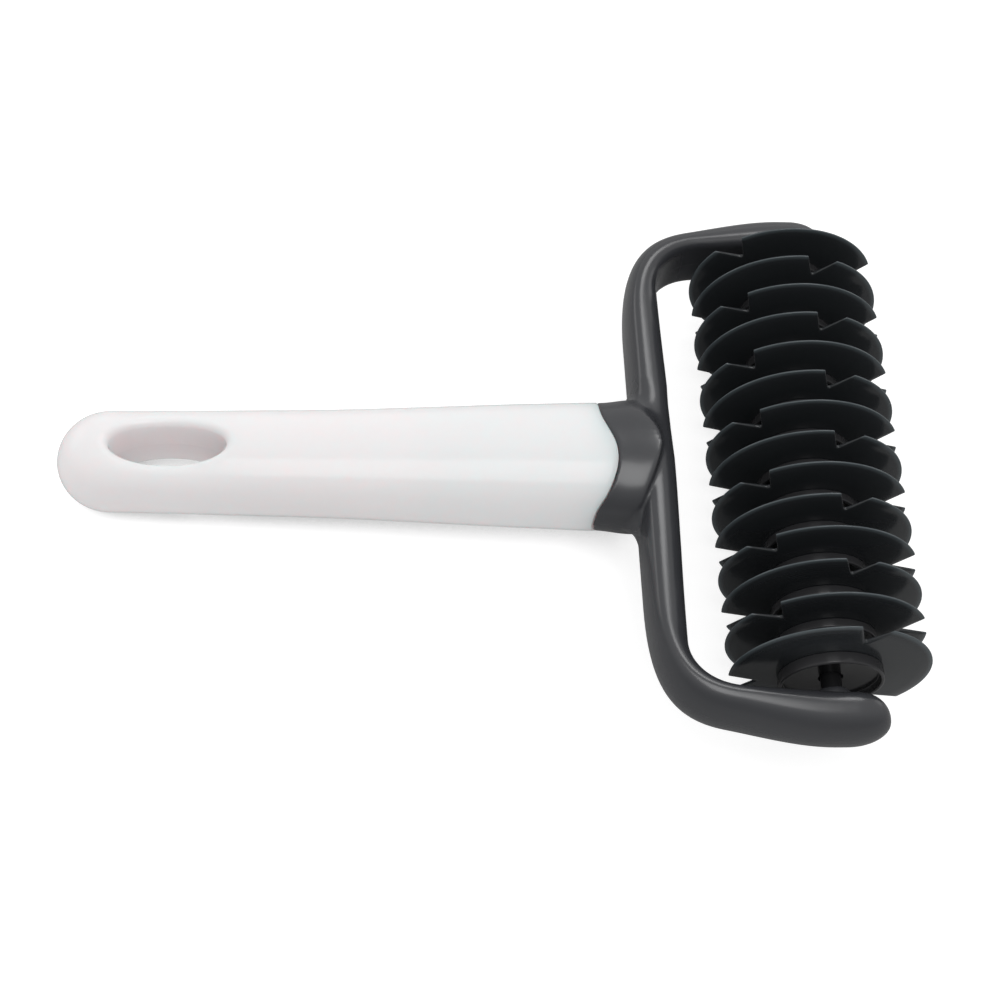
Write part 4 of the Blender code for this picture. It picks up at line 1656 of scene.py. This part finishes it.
@dataclass
class Studio:
    """White floor and surroundings with soft boxes."""

    lamps: tuple[Lamp, ...] = (
        Lamp("top_box", (-45.0, -185.0, 720.0), (300.0, 480.0), 1.46, (-45.0, -5.0, 10.0)),
        Lamp("back_box", (246.0, 372.0, 610.0), (250.0, 220.0), 0.75, (-35.0, 0.0, 10.0)),
        Lamp("left_box", (-640.0, 440.0, 150.0), (420.0, 260.0), 0.36, (-35.0, 0.0, 5.0)),
        Lamp("right_box", (660.0, 380.0, 150.0), (420.0, 260.0), 0.22, (-35.0, 0.0, 5.0)),
    )
    floor_half: float = 3000.0
    floor_drop: float = 0.2
    floor_tone: float = 0.38
    floor_glow: float = 0.82
    floor_fill: float = 0.8
    # Share of the glow left in the painted shade where the floor is most hemmed in.
    floor_shade: float = 0.22
    shade_reach: float = 20.0
    shade_band: tuple[float, float] = (0.15, 0.5)
    sky_dim: float = 0.28
    sky_bright: float = 0.72
    sky_towards: tuple[float, float, float] = (0.0, 0.5, 0.87)
    sky_spread: tuple[float, float] = (-0.25, 0.6)
    gloss_share: float = 0.03

    def world(self) -> None:
        """Sets a plain soft sky, lighter above and behind the cutter, that is seen as white."""
        world = bpy.data.worlds.new("studio_white")
        bpy.context.scene.world = world
        world.use_nodes = True
        board = Board(world.node_tree)
        background = board.tree.nodes["Background"]
        background.inputs["Color"].default_value = (1, 1, 1, 1)
        spot = board.add("ShaderNodeTexCoord")
        facing = board.add("ShaderNodeVectorMath", operation="DOT_PRODUCT")
        board.feed(facing.inputs[0], spot.outputs["Generated"])
        facing.inputs[1].default_value = Vector(self.sky_towards).normalized()
        light = board.ramp(facing.outputs["Value"], *self.sky_spread, self.sky_dim, self.sky_bright)
        board.feed(background.inputs["Strength"], self.seen(board, light, 1.0))

    def seen(self, board: Board, otherwise: object, directly: float) -> bpy.types.NodeSocket:
        """Gives one value to rays that see a thing and another to those that only light.

        Args:
            board: The material's or world's board.
            otherwise: Value for the light that it gives, a number or a socket.
            directly: Value where the camera or a clear thing shows it, and in part where a gloss does.

        Returns:
            The value's socket.
        """
        path = board.add("ShaderNodeLightPath")
        glossy = board.math("MULTIPLY", path.outputs["Is Glossy Ray"], self.gloss_share)
        shown = board.math("MAXIMUM", path.outputs["Is Camera Ray"], glossy)
        shown = board.math("MAXIMUM", shown, path.outputs["Is Transmission Ray"])
        more = board.math("SUBTRACT", directly, otherwise)
        return board.math("MULTIPLY_ADD", shown, more, otherwise)

    def floor(self) -> None:
        """Lays the pale floor, which shows white, keeps the cutter's shadow and has painted shade in its
        glow where the cutter hems it in.
        """
        skin = Skin()
        half, z = self.floor_half, -self.floor_drop
        skin.cap(skin.loop(((-half, -half, z), (half, -half, z), (half, half, z), (-half, half, z))))
        mesh = skin.mesh("studio_floor")
        material, board, shader = plain_material("floor_paper")
        shader.inputs["Base Color"].default_value = (*(self.floor_tone,) * 3, 1)
        shader.inputs["Roughness"].default_value = 1
        shader.inputs["Specular IOR Level"].default_value = 0
        shader.inputs["Emission Color"].default_value = (1, 1, 1, 1)
        path = board.add("ShaderNodeLightPath")
        fill = board.math("MULTIPLY", path.outputs["Is Diffuse Ray"], self.floor_fill)
        glow = board.math("MAXIMUM", self.seen(board, 0.0, self.floor_glow), fill)
        # Painted shade: the glow is dimmed where ambient occlusion finds the floor hemmed in under and
        # beside the cutter.
        openness = board.add("ShaderNodeAmbientOcclusion")
        openness.inputs["Distance"].default_value = self.shade_reach * MM
        shade = board.ramp(openness.outputs["AO"], *self.shade_band, start=self.floor_shade)
        board.feed(shader.inputs["Emission Strength"], board.math("MULTIPLY", glow, shade))
        mesh.materials.append(material)
        floor = put("studio_floor", mesh)

    def build(self) -> None:
        """Builds the floor, the surroundings and the lamps."""
        self.world()
        self.floor()
        for lamp in self.lamps:
            lamp.build()
        bpy.context.scene.view_settings.view_transform = "Standard"


@dataclass(frozen=True)
class PhotoCamera:
    """The photograph's camera, in the cutter's own frame."""

    place: tuple[float, float, float] = (-100.037, -220.593, 365.362)
    turn_degs: tuple[float, float, float] = (30.2468, -3.4720, -1.7447)
    focal_pixels: float = 1875.28
    photo_side: float = 990.0
    sensor: float = 36.0

    def build(self) -> None:
        """Sets up the camera."""
        data = bpy.data.cameras.new("photo_camera")
        data.sensor_width = self.sensor
        data.lens = self.focal_pixels / self.photo_side * self.sensor
        camera = put("photo_camera", data)
        turn = Euler([math.radians(angle) for angle in self.turn_degs]).to_matrix().to_4x4()
        camera.matrix_world = STANDING @ Matrix.Translation(Vector(self.place) * MM) @ turn
        bpy.context.scene.camera = camera


def main() -> None:
    """Builds the dressed cutter and its studio."""
    logging.basicConfig(level=logging.INFO, format="%(message)s")
    bench = Workbench(Effects())
    meeting = Meeting()
    Handle(meeting).build(bench)
    Fork(meeting).build(bench)
    Roller().build(bench)
    Studio().build()
    PhotoCamera().build()


if __name__ == "__main__":
    main()
